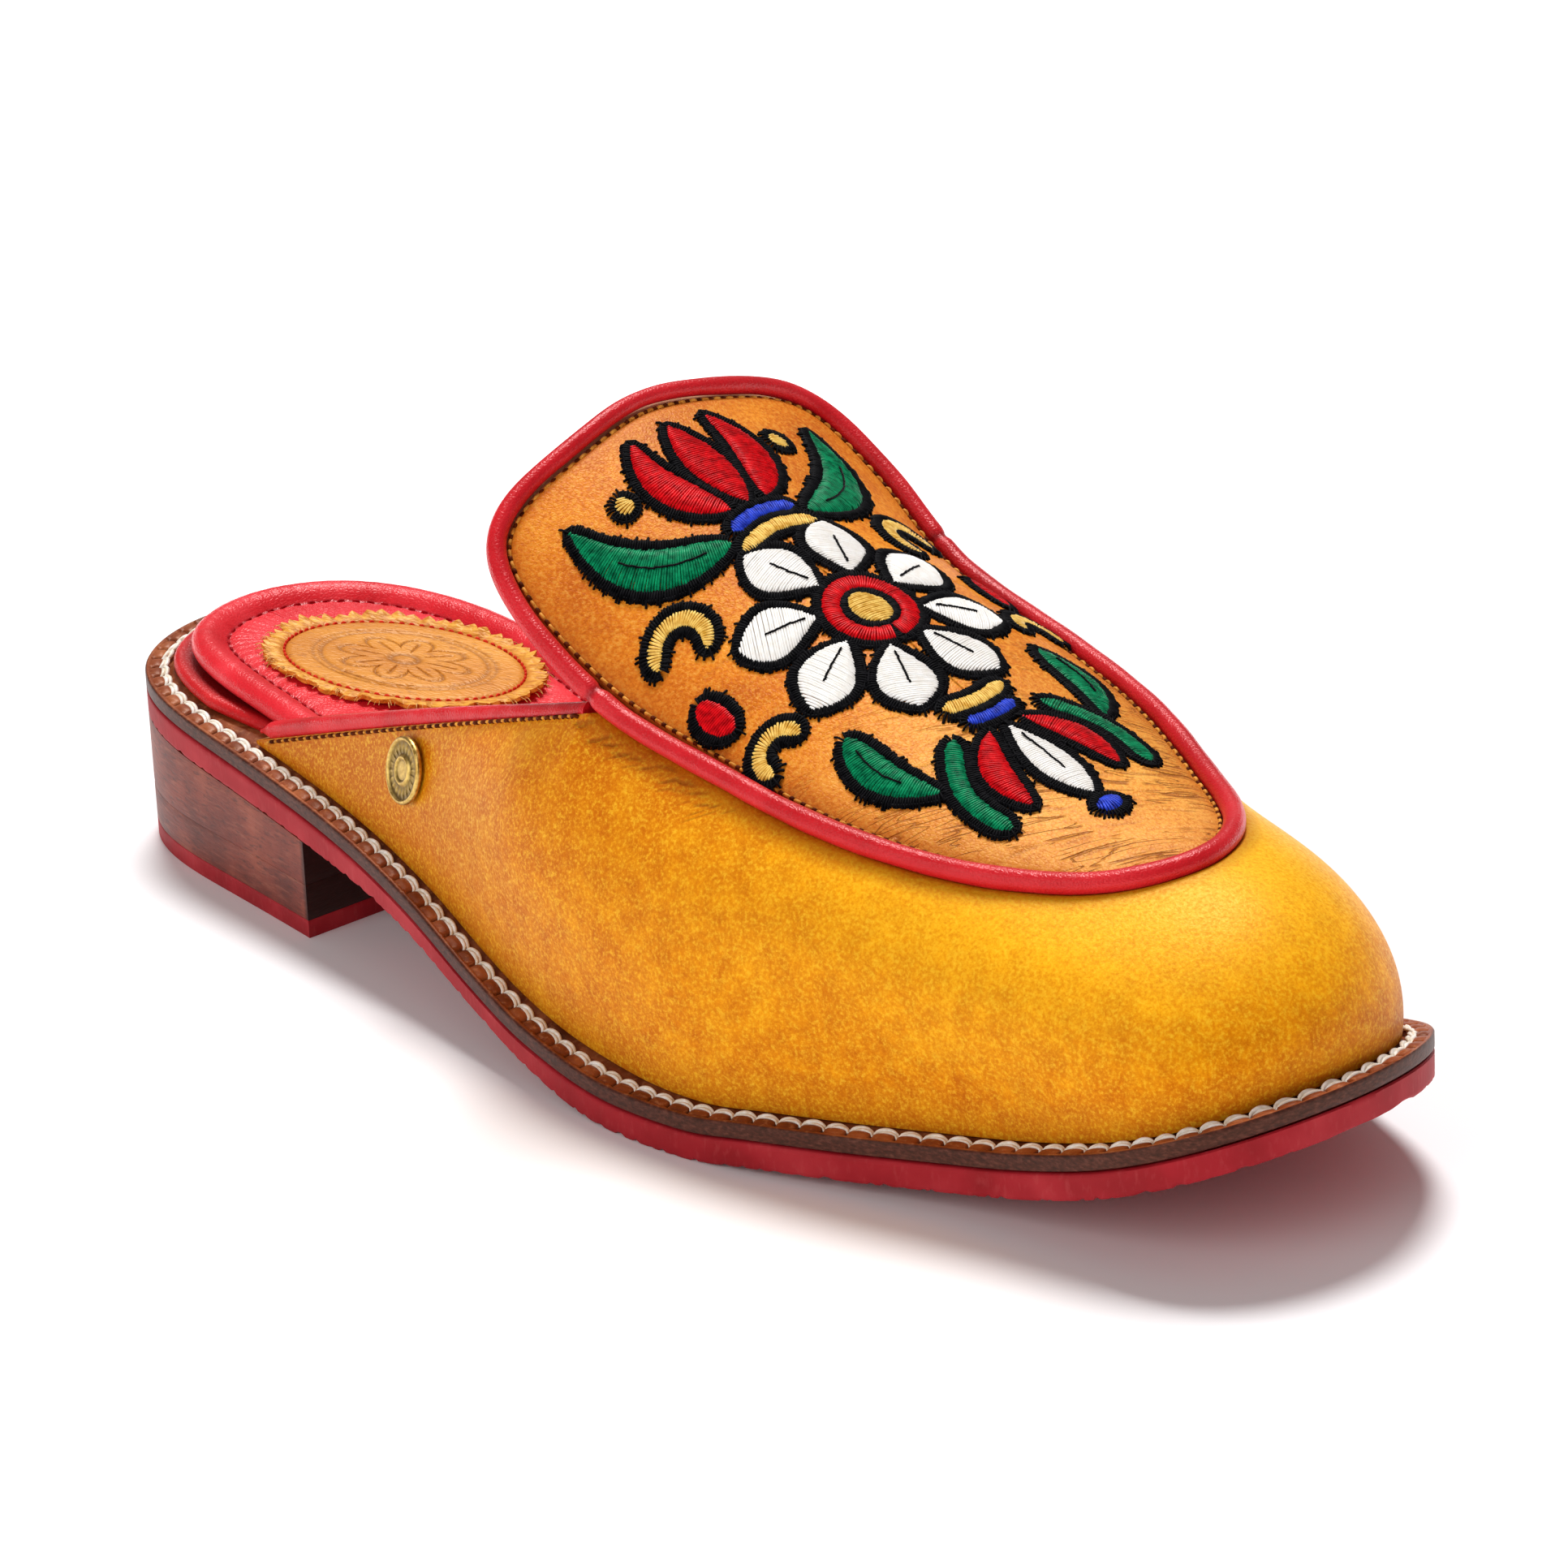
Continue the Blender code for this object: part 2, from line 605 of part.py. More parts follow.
def build_rivet():
    """Stud with a rolled rim and a raised middle, standing off the outer quarter."""
    t = np.linspace(0.3, 1.0, 141)
    a = np.full(141, -1.0)
    for _ in range(4):
        line = wall(a, t)
        row = int(np.argmin(np.abs(line[:, 2] - RIVET_AT[1])))
        test = np.linspace(-1, -2, 201)
        at = wall(test, np.full(201, t[row]))
        a[:] = np.interp(-RIVET_AT[0], -at[:, 0], test)
    line = wall(a, t)
    row = int(np.argmin(np.abs(line[:, 2] - RIVET_AT[1])))
    centre = line[row]
    normal = wall_normal(a[row:row + 1], t[row:row + 1])[0]
    across = unit(np.cross((0, 0, 1), normal))
    up = np.cross(normal, across)
    angle = 2 * np.pi * np.arange(28) / 28
    around = np.cos(angle)[:, None] * across + np.sin(angle)[:, None] * up
    radius = RIVET_SIZE / 2
    profile = ((0.94, 0.0), (1.00, 0.35), (0.95, 0.85), (0.84, 0.80), (0.74, 0.55),
               (0.40, 0.60), (0.34, 0.92), (0.24, 1.00))
    rings = [centre + around * radius * r + normal * (2 * CLEARANCE + h * RIVET_THICK)
             for r, h in profile]
    return tube(rings, False)


def build_all():
    heel_top = TOP_LIFT_THICK + CLEARANCE
    lift_top = TOP_LIFT_THICK + LOWER_LIFT_THICK
    sole = outline(0.0, 40)
    sole_low = outline(EDGE_ROUND, 40)
    welt_in = outline(WELT_WIDTH, 40)
    outsole = stack([
        hollowed(lift(sole_low, 0.0)), hollowed(lift(sole, EDGE_ROUND)),
        lift(sole, OUTSOLE_TOP - EDGE_ROUND / 2), lift(offset(sole, EDGE_ROUND / 2), OUTSOLE_TOP),
    ])
    welt_rings = [
        lift(offset(sole, EDGE_ROUND / 2), WELT_BOTTOM), lift(sole, WELT_BOTTOM + EDGE_ROUND / 2),
        lift(sole, WELT_TOP - EDGE_ROUND), lift(sole_low, WELT_TOP),
        lift(welt_in, WELT_TOP), lift(welt_in, WELT_BOTTOM),
    ]
    welt = tube([np.array(points) for points in zip(*welt_rings)], True)
    return {
        "outsole": outsole,
        "welt": welt,
        "top_lift": build_heel(0.0, TOP_LIFT_THICK, False),
        "heel_lift_lower": build_heel(heel_top, lift_top, False),
        "heel_lift_upper": build_heel(lift_top + CLEARANCE, 0.0, True),
        "upper": build_upper(),
        "plug": build_plug(),
        "plug_piping": build_piping(),
        "topline_binding_inner": build_binding(1),
        "topline_binding_outer": build_binding(-1),
        "insole": build_base(),
        "heel_sock": build_sock(),
        "heel_patch": build_patch(),
        "rivet": build_rivet(),
    }


def volume(points, faces):
    total = 0.0
    for face in faces:
        for b, c in zip(face[1:], face[2:]):
            total += np.dot(points[face[0]], np.cross(points[b], points[c])) / 6
    return total


def place_in_scene(solids):
    everything = np.vstack([points for points, _ in solids.values()])
    low, high = everything.min(axis=0), everything.max(axis=0)
    shift = np.array([(low[0] + high[0]) / 2, (low[1] + high[1]) / 2, 0.0])
    for thing in list(bpy.data.objects):
        bpy.data.objects.remove(thing)
    for name, (points, faces) in solids.items():
        if volume(points, faces) < 0:
            faces = [face[::-1] for face in faces]
        mesh = bpy.data.meshes.new(name)
        mesh.from_pydata([tuple(p) for p in points - shift], [], [list(f) for f in faces])
        used = {v for face in faces for v in face}
        mesh.validate()
        piece = bpy.data.objects.new(name, mesh)
        bpy.context.scene.collection.objects.link(piece)
        if len(used) < len(points):
            drop_loose(mesh, used)


def drop_loose(mesh, used):
    keep = sorted(used)
    renumber = {old: new for new, old in enumerate(keep)}
    points = [tuple(mesh.vertices[i].co) for i in keep]
    faces = [[renumber[v] for v in polygon.vertices] for polygon in mesh.polygons]
    mesh.clear_geometry()
    mesh.from_pydata(points, [], faces)


place_in_scene(build_all())
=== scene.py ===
"""Looks of a right-foot backless mule: mustard leather, a red piped plug with needlework, a welt.

Each piece is worked out in the shoe's own layout, in metres: x from the back of the heel to the
toe, y towards the inside of the foot, z up from the floor.  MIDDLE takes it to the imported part.
"""

import bmesh
import bpy
import numpy as np
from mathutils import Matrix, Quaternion, Vector


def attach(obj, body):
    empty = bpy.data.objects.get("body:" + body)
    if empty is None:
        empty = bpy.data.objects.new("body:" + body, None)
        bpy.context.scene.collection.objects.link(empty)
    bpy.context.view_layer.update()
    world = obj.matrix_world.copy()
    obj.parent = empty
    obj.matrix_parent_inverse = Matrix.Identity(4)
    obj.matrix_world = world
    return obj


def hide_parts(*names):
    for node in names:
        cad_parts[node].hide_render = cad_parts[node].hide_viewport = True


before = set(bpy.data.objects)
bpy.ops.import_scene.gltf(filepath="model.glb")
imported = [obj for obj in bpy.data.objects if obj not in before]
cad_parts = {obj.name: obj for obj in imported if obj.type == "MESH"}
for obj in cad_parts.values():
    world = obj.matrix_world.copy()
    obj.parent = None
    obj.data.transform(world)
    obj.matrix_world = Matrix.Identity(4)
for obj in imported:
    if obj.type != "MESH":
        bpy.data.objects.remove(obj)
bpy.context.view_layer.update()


# Camera
# The photograph's viewpoint, turned a little and narrowed so that the one shoe fills the view.
CAMERA_AT = Vector((0.71865, -0.61160, 0.41873))
CAMERA_AIM = Vector((0.02486, -0.00953, 0.04583))
CAMERA_ROLL = np.radians(-2.66)
LENS_MM = 147.1

put_in = bpy.context.scene.collection.objects.link
view = bpy.data.cameras.new("view")
view.lens = LENS_MM
camera = bpy.data.objects.new("view", view)
camera.location = CAMERA_AT
camera.rotation_mode = "QUATERNION"
aim = (CAMERA_AIM - CAMERA_AT).to_track_quat("-Z", "Y")
camera.rotation_quaternion = aim @ Quaternion((0, 0, 1), CAMERA_ROLL)
put_in(camera)
bpy.context.scene.camera = camera


# Light and floor
# One high light from behind the inner side, so that the shade falls to the front and the toe
# gets a broad shine, a soft box on the outer side and a white sweep under a dimmer pinkish sky.
KEY_FROM = Vector((-0.42, 0.40, 1.15))
KEY_STRENGTH = 3.0
KEY_ANGLE = np.radians(18)
SOFT_BOX_AT = Vector((0.10, -1.30, 0.75))
SOFT_BOX_SIZE = 1.0
SOFT_BOX_POWER = 7.5
SURROUND_COLOUR = (0.27, 0.232, 0.227, 1.0)


def srgb(red, green, blue):
    """Linear colour for one given as a screen shows it, 0 to 255."""
    tone = np.array((red, green, blue)) / 255
    linear = np.where(tone <= 0.04045, tone / 12.92, ((tone + 0.055) / 1.055) ** 2.4)
    return (*linear.tolist(), 1.0)


def node(kind, feeds=None, **settings):
    """Adds a node to the tree at hand and feeds its inputs with sockets or plain values."""
    made = tree.nodes.new(kind)
    for name, value in settings.items():
        setattr(made, name, value)
    for socket, value in (feeds or {}).items():
        if isinstance(value, bpy.types.NodeSocket):
            tree.links.new(value, made.inputs[socket])
        else:
            made.inputs[socket].default_value = value
    return made


def material(name, **plain):
    """Takes up a new finish: its Principled shader's constant sockets get the plain values."""
    global finish, tree, shader
    finish = bpy.data.materials.new(name)
    finish.use_nodes = True
    tree = finish.node_tree
    shader = tree.nodes["Principled BSDF"]
    for socket, value in plain.items():
        shader.inputs[socket.replace("_", " ")].default_value = value


sun = bpy.data.lights.new("key", "SUN")
sun.energy = KEY_STRENGTH
sun.angle = KEY_ANGLE
key = bpy.data.objects.new("key", sun)
key.rotation_euler = (-KEY_FROM).to_track_quat("-Z", "Y").to_euler()
put_in(key)

soft = bpy.data.lights.new("soft_box", "AREA")
soft.size = SOFT_BOX_SIZE
soft.energy = SOFT_BOX_POWER
soft_box = bpy.data.objects.new("soft_box", soft)
soft_box.location = SOFT_BOX_AT
soft_box.rotation_euler = (-SOFT_BOX_AT).to_track_quat("-Z", "Y").to_euler()
put_in(soft_box)

surround = bpy.data.worlds.new("white_surround")
surround.use_nodes = True
tree = surround.node_tree
seen = node("ShaderNodeLightPath").outputs["Is Camera Ray"]
shade = node("ShaderNodeMix", {0: seen, 6: SURROUND_COLOUR, 7: (1, 1, 1, 1)},
             data_type="RGBA")
tree.links.new(shade.outputs[2], tree.nodes["Background"].inputs["Color"])
bpy.context.scene.world = surround
bpy.context.scene.view_settings.view_transform = "Standard"

floor_bm = bmesh.new()
bmesh.ops.create_grid(floor_bm, x_segments=2, y_segments=2, size=4.0)
floor_mesh = bpy.data.meshes.new("floor")
floor_bm.to_mesh(floor_mesh)
floor = bpy.data.objects.new("floor", floor_mesh)
put_in(floor)
material("white_sweep", Base_Color=srgb(248, 248, 249), Roughness=0.7, Emission_Strength=1.4)
where = node("ShaderNodeTexCoord").outputs["Object"]
away = node("ShaderNodeVectorMath", {0: where}, operation="LENGTH").outputs["Value"]
fade = node("ShaderNodeMapRange", {"Value": away, "From Min": 0.18, "From Max": 0.4})
tree.links.new(fade.outputs[0], shader.inputs["Emission Color"])
floor_mesh.materials.append(finish)


# Outsole
# One sheet of red rubber cut to the sole's outline, with arch and toe spring.  Its underside has
# fine cross ribs, which leave the lower edge a little ragged where the knife trimmed them.
MIDDLE = np.array((0.13610, -0.00103, 0.0))
LENGTH = 0.272
BALL_WIDTH = 0.097
OUTSOLE_THICK = 0.0044
TOE_SPRING = 0.0192
ARCH_HEIGHT = 0.0062
WAIST_THIN = 0.0014
HEEL_LENGTH = 0.0675
HEEL_BACK_HEIGHT = 0.0236
HEEL_FRONT_HEIGHT = 0.0172
CLEARANCE = 0.0003
RIB_PITCH = 0.0034
RIB_DEPTH = 0.00045
# Share of the length, share of the ball width towards the inside of the foot
SOLE_SHAPE = (
    (0.00, -0.013), (0.03, 0.232), (0.15, 0.385), (0.38, 0.311), (0.56, 0.394),
    (0.70, 0.489), (0.86, 0.398), (0.96, 0.290), (1.00, 0.060), (0.96, -0.265),
    (0.84, -0.345), (0.64, -0.501), (0.40, -0.427), (0.15, -0.326), (0.03, -0.218),
)
# Share of the length, height of the outsole's underside where it has its full thickness
SOLE_LINE = (
    (0.00, HEEL_BACK_HEIGHT), (HEEL_LENGTH / LENGTH, HEEL_FRONT_HEIGHT),
    (0.31, 0.86 * HEEL_FRONT_HEIGHT), (0.37, 0.66 * HEEL_FRONT_HEIGHT), (0.44, ARCH_HEIGHT),
    (0.51, 0.36 * ARCH_HEIGHT), (0.60, 0.0), (0.65, 0.0), (0.69, 0.05 * TOE_SPRING),
    (0.76, 0.125 * TOE_SPRING), (0.83, 0.25 * TOE_SPRING), (0.90, 0.49 * TOE_SPRING),
    (1.00, TOE_SPRING),
)
# Share of the length, how much thinner the outsole is there
SOLE_WAIST = (
    (0.00, 0.0), (HEEL_LENGTH / LENGTH, 0.0), (0.37, 0.8 * WAIST_THIN), (0.46, WAIST_THIN),
    (0.58, 0.0), (1.00, 0.0),
)


def spline(rows, closed=False):
    """Smooth curve through the rows, as a function of 0 to 1 along their chord length."""
    points = np.asarray(rows, float)
    if closed:
        points = np.vstack([points, points[:1]])
    at = np.r_[0, np.cumsum(np.linalg.norm(np.diff(points, axis=0), axis=1))]
    at /= at[-1]
    step = np.diff(at)
    slope = np.diff(points, axis=0) / step[:, None]
    last = len(at) - 1
    matrix = np.zeros((last + 1, last + 1))
    right = np.zeros_like(points)
    for i in range(1, last):
        matrix[i, i - 1:i + 2] = step[i - 1], 2 * (step[i - 1] + step[i]), step[i]
        right[i] = 6 * (slope[i] - slope[i - 1])
    if closed:
        matrix[0, 0], matrix[0, last] = 1, -1
        matrix[last, [0, 1, last - 1, last]] = 2 * step[0], step[0], step[-1], 2 * step[-1]
        right[last] = 6 * (slope[0] - slope[-1])
    else:
        matrix[0, 0] = matrix[last, last] = 1
    bend = np.linalg.solve(matrix, right)

    def curve(u):
        u = np.asarray(u, float)
        i = np.clip(np.searchsorted(at, u, side="right") - 1, 0, last - 1)
        a = ((at[i + 1] - u) / step[i])[:, None]
        b = 1 - a
        pull = (a ** 3 - a) * bend[i] + (b ** 3 - b) * bend[i + 1]
        return a * points[i] + b * points[i + 1] + pull * step[i][:, None] ** 2 / 6

    return curve


def level_line(rows):
    """Height over length through the rows, with no overshoot between them."""
    x, z = np.asarray(rows, float).T
    step = np.diff(x)
    slope = np.diff(z) / step
    lean = np.zeros(len(x))
    lean[0], lean[-1] = slope[0], slope[-1]
    for i in range(1, len(x) - 1):
        if slope[i - 1] * slope[i] > 0:
            lean[i] = 2 * slope[i - 1] * slope[i] / (slope[i - 1] + slope[i])

    def height(at):
        at = np.clip(np.asarray(at, float) / LENGTH, x[0], x[-1])
        i = np.clip(np.searchsorted(x, at, side="right") - 1, 0, len(x) - 2)
        u = (at - x[i]) / step[i]
        start = u * (1 - u) ** 2 * lean[i] * step[i]
        end = u * u * (u - 1) * lean[i + 1] * step[i]
        return z[i] + (z[i + 1] - z[i]) * u * u * (3 - 2 * u) + start + end

    return height


def unit(vectors):
    return vectors / np.linalg.norm(vectors, axis=-1, keepdims=True)


def inward(points):
    """Unit side directions of a closed plan curve that runs clockwise, to its inside."""
    along = np.roll(points, -1, axis=0) - np.roll(points, 1, axis=0)
    return unit(np.stack([along[:, 1], -along[:, 0]], axis=1))


under = level_line(SOLE_LINE)
waist = level_line(SOLE_WAIST)
DENSE = 720
sole_edge = spline([(x * LENGTH, y * BALL_WIDTH) for x, y in SOLE_SHAPE], closed=True)
EDGE = sole_edge(np.linspace(0, 1, DENSE, endpoint=False))
EDGE_IN = inward(EDGE)


def halves(margin):
    """Inner and outer sides of the sole's outline, moved in by a margin, from heel to toe."""
    ring = EDGE + EDGE_IN * margin
    ring = np.roll(ring, -int(np.argmin(ring[:, 0])), axis=0)
    tip = int(np.argmax(ring[:, 0]))
    return ring[:tip + 1], np.vstack([ring[tip:], ring[:1]])[::-1]


def side_at(half, x):
    return np.interp(x, half[:, 0], half[:, 1])


def outline(margin, count, end=None):
    """Closed ring of plan points whose two sides share their stations along the length."""
    inner, outer = halves(margin)
    low = inner[0, 0]
    if end is None:
        turn = np.pi * np.arange(count + 1) / count
        station = low + (inner[-1, 0] - low) * (1 - np.cos(turn)) / 2
    else:
        station = low + (end - low) * (1 - np.cos(np.pi / 2 * np.arange(count + 1) / count))
    near = np.stack([station, side_at(inner, station)], axis=1)
    far = np.stack([station, side_at(outer, station)], axis=1)
    return np.vstack([near, far[:0:-1] if end is not None else far[-2:0:-1]])


def lift(ring, height):
    """Plan ring set at a height above the outsole's underside."""
    return np.column_stack([ring, under(ring[:, 0]) + height])


def skin(name, net, around=False, through=False, close=(), marks=None):
    """Piece over a net of points, rows by columns, merged where its columns or rows come round.

    close names the rows, 0 or -1, that are closed across from side to side.  marks gives a value
    for each point, kept as an attribute that the materials read.
    """
    net = np.asarray(net, float)
    marks = {key: np.broadcast_to(value, net.shape[:2]) for key, value in (marks or {}).items()}
    if around:
        net = np.concatenate([net, net[:, :1]], axis=1)
        marks = {key: np.concatenate([m, m[:, :1]], axis=1) for key, m in marks.items()}
    if through:
        net = np.concatenate([net, net[:1]], axis=0)
        marks = {key: np.concatenate([m, m[:1]], axis=0) for key, m in marks.items()}
    rows, columns = net.shape[:2]
    bm = bmesh.new()
    bmesh.ops.create_grid(bm, x_segments=columns - 1, y_segments=rows - 1, size=1)
    bm.verts.ensure_lookup_table()
    for vert, place in zip(bm.verts, (net - MIDDLE).reshape(-1, 3)):
        vert.co = place
    for key, values in marks.items():
        layer = bm.verts.layers.float.new(key)
        for vert, value in zip(bm.verts, values.ravel()):
            vert[layer] = value
    for row in close:
        start = (rows + row if row < 0 else row) * columns
        ring = [bm.verts[start + i] for i in range(columns - 1)]
        for i in range((len(ring) + 1) // 2):
            corners = (ring[i], ring[i + 1], ring[-1 - i], ring[-i])
            corners = list(dict.fromkeys(corners))
            if len(corners) > 2:
                bm.faces.new(corners)
    bmesh.ops.remove_doubles(bm, verts=bm.verts, dist=1e-6)
    bmesh.ops.recalc_face_normals(bm, faces=bm.faces)
    mesh = bpy.data.meshes.new(name)
    bm.to_mesh(mesh)
    bm.free()
    mesh.polygons.foreach_set("use_smooth", [True] * len(mesh.polygons))
    mesh.set_sharp_from_angle(angle=np.radians(50))
    return riding(name, mesh)


def riding(name, mesh):
    """Piece made of a mesh, riding on the shoe."""
    piece = bpy.data.objects.new(name, mesh)
    put_in(piece)
    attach(piece, "root")
    return piece


def colours(value, *stops):
    """Colour ramp over a value: each stop is its place and its screen colour."""
    ramp = node("ShaderNodeValToRGB", {"Fac": value})
    ends = ramp.color_ramp.elements
    for end, (place, *colour) in ((ends[0], stops[0]), (ends[1], stops[-1])):
        end.position, end.color = place, srgb(*colour)
    for place, *colour in stops[1:-1]:
        ends.new(place).color = srgb(*colour)
    return ramp.outputs["Color"]


def mixed(share, first, second, how="MIX"):
    """The second tone, or screen colour, laid over the first by a share."""
    second = srgb(*second) if isinstance(second, tuple) else second
    return node("ShaderNodeMix", {0: share, 6: first, 7: second}, data_type="RGBA",
                blend_type=how).outputs[2]


def between(value, low, high, start=0.0, end=1.0):
    """The value's way from low to high, given out from start to end."""
    return node("ShaderNodeMapRange", {"Value": value, "From Min": low, "From Max": high,
                                       "To Min": start, "To Max": end}).outputs["Result"]


def maths(how, first, second=0.0):
    return node("ShaderNodeMath", {0: first, 1: second}, operation=how).outputs[0]


def placed(stretch=(1, 1, 1), turn=0.0):
    """Place on the piece, stretched and turned about z for patterns that have a direction."""
    where = node("ShaderNodeTexCoord").outputs["Object"]
    if turn:
        where = node("ShaderNodeVectorRotate", {"Vector": where, "Angle": -turn},
                     rotation_type="Z_AXIS").outputs["Vector"]
    return node("ShaderNodeMapping", {"Vector": where, "Scale": stretch}).outputs["Vector"]


def noise(where, scale, detail=2.0, rough=0.5):
    return node("ShaderNodeTexNoise", {"Vector": where, "Scale": scale, "Detail": detail,
                                       "Roughness": rough}).outputs["Fac"]


def mark(name, strength=None):
    found = node("ShaderNodeAttribute", attribute_name=name).outputs["Fac"]
    return maths("MULTIPLY", found, strength) if strength else found


def bump(height, distance, strength=1.0):
    made = node("ShaderNodeBump", {"Height": height, "Distance": distance, "Strength": strength})
    tree.links.new(made.outputs["Normal"], shader.inputs["Normal"])


def paint(piece, tone):
    """Lays the finish at hand on a piece, with the tone as its colour."""
    tree.links.new(tone, shader.inputs["Base Color"])
    piece.data.materials.append(finish)


def hill(value, peak, width):
    """1 where the value is at the peak, falling softly to 0 on both sides."""
    return np.exp(-((value - peak) / width) ** 2)


def ribs(x, y):
    """How far the ribbed underside is cut up at a place, deeper where a rib was torn."""
    wave = np.sin(2 * np.pi * (x + 0.0012 * np.sin(y * 90)) / RIB_PITCH + 2 * np.sin(x * 330))
    torn = 0.5 + 0.5 * np.sin(x * 1900 + 3 * np.sin(x * 610 + y * 40))
    return RIB_DEPTH * np.clip(wave * 1.4 - 0.2, 0, 1) * torn


OUTSOLE_PROFILE = (
    (0.0012, 0.0, 1.0), (0.0002, 0.0, 1.0), (0.0, 0.0002, 1.0), (0.0, 0.0007, 0.1),
    (0.0, 0.0011, 0.0), (0.0, 0.0024, 0.0), (0.0, 0.0034, 0.0),
    (0.0, OUTSOLE_THICK - 0.0003, 0.0), (0.0003, OUTSOLE_THICK, 0.0),
)
sole_net = []
for margin, height, cut in OUTSOLE_PROFILE:
    ring = outline(margin, 520)
    wall = lift(ring, height)
    wall[:, 2] += cut * ribs(ring[:, 0], ring[:, 1])
    wall[:, 2] += waist(ring[:, 0]) * (1 - height / OUTSOLE_THICK)
    sole_net.append(wall)
outsole = skin("outsole_rubber", sole_net, around=True, close=(0, -1))

material("red_rubber", Roughness=0.55, Specular_IOR_Level=0.35, Specular_Tint=(1, 0.4, 0.4, 1))
streak = noise(placed((1, 1, 0.4)), 1100, 3)
cloud = noise(placed(), 90, 3)
tone = colours(cloud, (0.30, 146, 22, 30), (0.5, 163, 28, 38), (0.72, 182, 46, 54))
tone = mixed(between(streak, 0.55, 0.75, 0, 0.2), tone, (201, 88, 88))
paint(outsole, tone)
rubber = finish
bump(streak, 0.00008, 0.5)
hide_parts("outsole")


# Heel
# Two lifts of pressed leather under the outsole's heel seat, stained and buffed together, on a
# red rubber top lift.  Thin lines stay where the lifts meet, and the front face is cut straight
# and painted darker as shade.
TOP_LIFT_THICK = 0.0031
LOWER_LIFT_THICK = 0.0064
SEAM = 0.00004


def heel_layer(name, low, high, slanted, bulge=0.0):
    """A layer of the heel between two heights, its edges eased by the buffing wheel."""
    ease = 0.00009
    net = []
    for share in (0, 0.06, 0.25, 0.5, 0.75, 0.94, 1):
        margin = ease if share in (0, 1) else -bulge * np.sin(np.pi * share)
        ring = outline(margin, 170, end=HEEL_LENGTH - (ease if share in (0, 1) else 0))
        top = under(ring[:, 0]) - SEAM if slanted else np.full(len(ring), high)
        net.append(np.column_stack([ring, low + (top - low) * share]))
    # Painted shade: the front face, turned away from the light, is marked to be painted darker.
    breast_shade = np.clip((np.array(net)[..., 0] - HEEL_LENGTH + 0.0012) / 0.001, 0, 1)
    return skin(name, net, around=True, close=(0, -1), marks={"breast_shade": breast_shade})


lift_top = TOP_LIFT_THICK + LOWER_LIFT_THICK
top_lift = heel_layer("top_lift_rubber", 0.0, TOP_LIFT_THICK, False)
lower_lift = heel_layer("lower_lift", TOP_LIFT_THICK + SEAM, lift_top, False)
upper_lift = heel_layer("upper_lift", lift_top + SEAM, 0.0, True)

material("stacked_leather", Roughness=0.42, Specular_IOR_Level=0.45,
         Specular_Tint=(1, 0.65, 0.55, 1))
fibre = noise(placed((0.5, 0.5, 2.0)), 900, 4, 0.6)
rubbed = noise(placed((0.25, 0.25, 2.0)), 800, 4, 0.65)
cloud = noise(placed(), 90, 3)
tone = colours(cloud, (0.30, 93, 34, 24), (0.52, 121, 49, 34), (0.70, 146, 69, 48))
tone = mixed(between(rubbed, 0.53, 0.70, 0.0, 0.45), tone, (164, 98, 74))
tone = mixed(between(rubbed, 0.46, 0.30, 0.0, 0.6), tone, (70, 24, 19))
tone = mixed(between(fibre, 0.46, 0.34, 0.0, 0.6), tone, (59, 20, 17))
# Painted shade: the front face is painted near black.
tone = mixed(mark("breast_shade"), tone, (36, 8, 7))
bump(maths("ADD", fibre, rubbed), 0.0001, 0.7)
top_lift.data.materials.append(rubber)
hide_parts("top_lift")
for piece, solid in ((lower_lift, "heel_lift_lower"), (upper_lift, "heel_lift_upper")):
    paint(piece, tone)
    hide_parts(solid)


# Welt
# A leather strip round the whole sole, tan on top with its cut edge stained dark.  A toothed
# wheel presses a mark between the stitches, so the leather swells to a small bead beside each.
# The gaps are painted dark, partly as the wheel's mark and partly as painted shade.
WELT_THICK = 0.0027
WELT_MARGIN = 0.0048
WELT_BOTTOM = OUTSOLE_THICK + CLEARANCE
WELT_TOP = WELT_BOTTOM + WELT_THICK
STITCHES = 152
STITCH_COLUMNS = 10
# Distance in from the sole's edge, height on the welt, how much of the bead it takes, stain
WELT_PROFILE = (
    (0.0003, 0.0000, 0.0, 1.0), (0.0000, 0.0002, 0.0, 1.0), (0.0000, 0.0010, 0.0, 1.0),
    (0.0000, 0.0018, 0.0, 1.0), (0.0000, 0.0024, 0.0, 1.0), (0.0002, 0.0027, 0.0, 0.6),
    (0.0006, 0.0028, 0.0, 0.0), (0.0009, 0.0026, 0.2, 0.0), (0.0012, 0.0027, 0.8, 0.0),
    (0.0016, 0.0028, 1.0, 0.0), (0.0021, 0.0029, 1.0, 0.0), (0.0027, 0.0028, 1.0, 0.0),
    (0.0031, 0.0025, 0.9, 0.1), (0.0035, 0.0020, 0.4, 0.2), (0.0040, 0.0018, 0.1, 0.2),
    (0.0046, 0.0021, 0.0, 0.2), (0.0052, 0.0025, 0.0, 0.0), (0.0100, 0.0027, 0.0, 0.0),
    (0.0100, 0.0000, 0.0, 1.0),
)


def round_edge(margin, count):
    """Even plan points round the whole sole, moved in by a margin, and the way in at each."""
    ring = sole_edge(np.linspace(0, 1, count, endpoint=False))
    way = inward(ring)
    return ring + way * margin, way


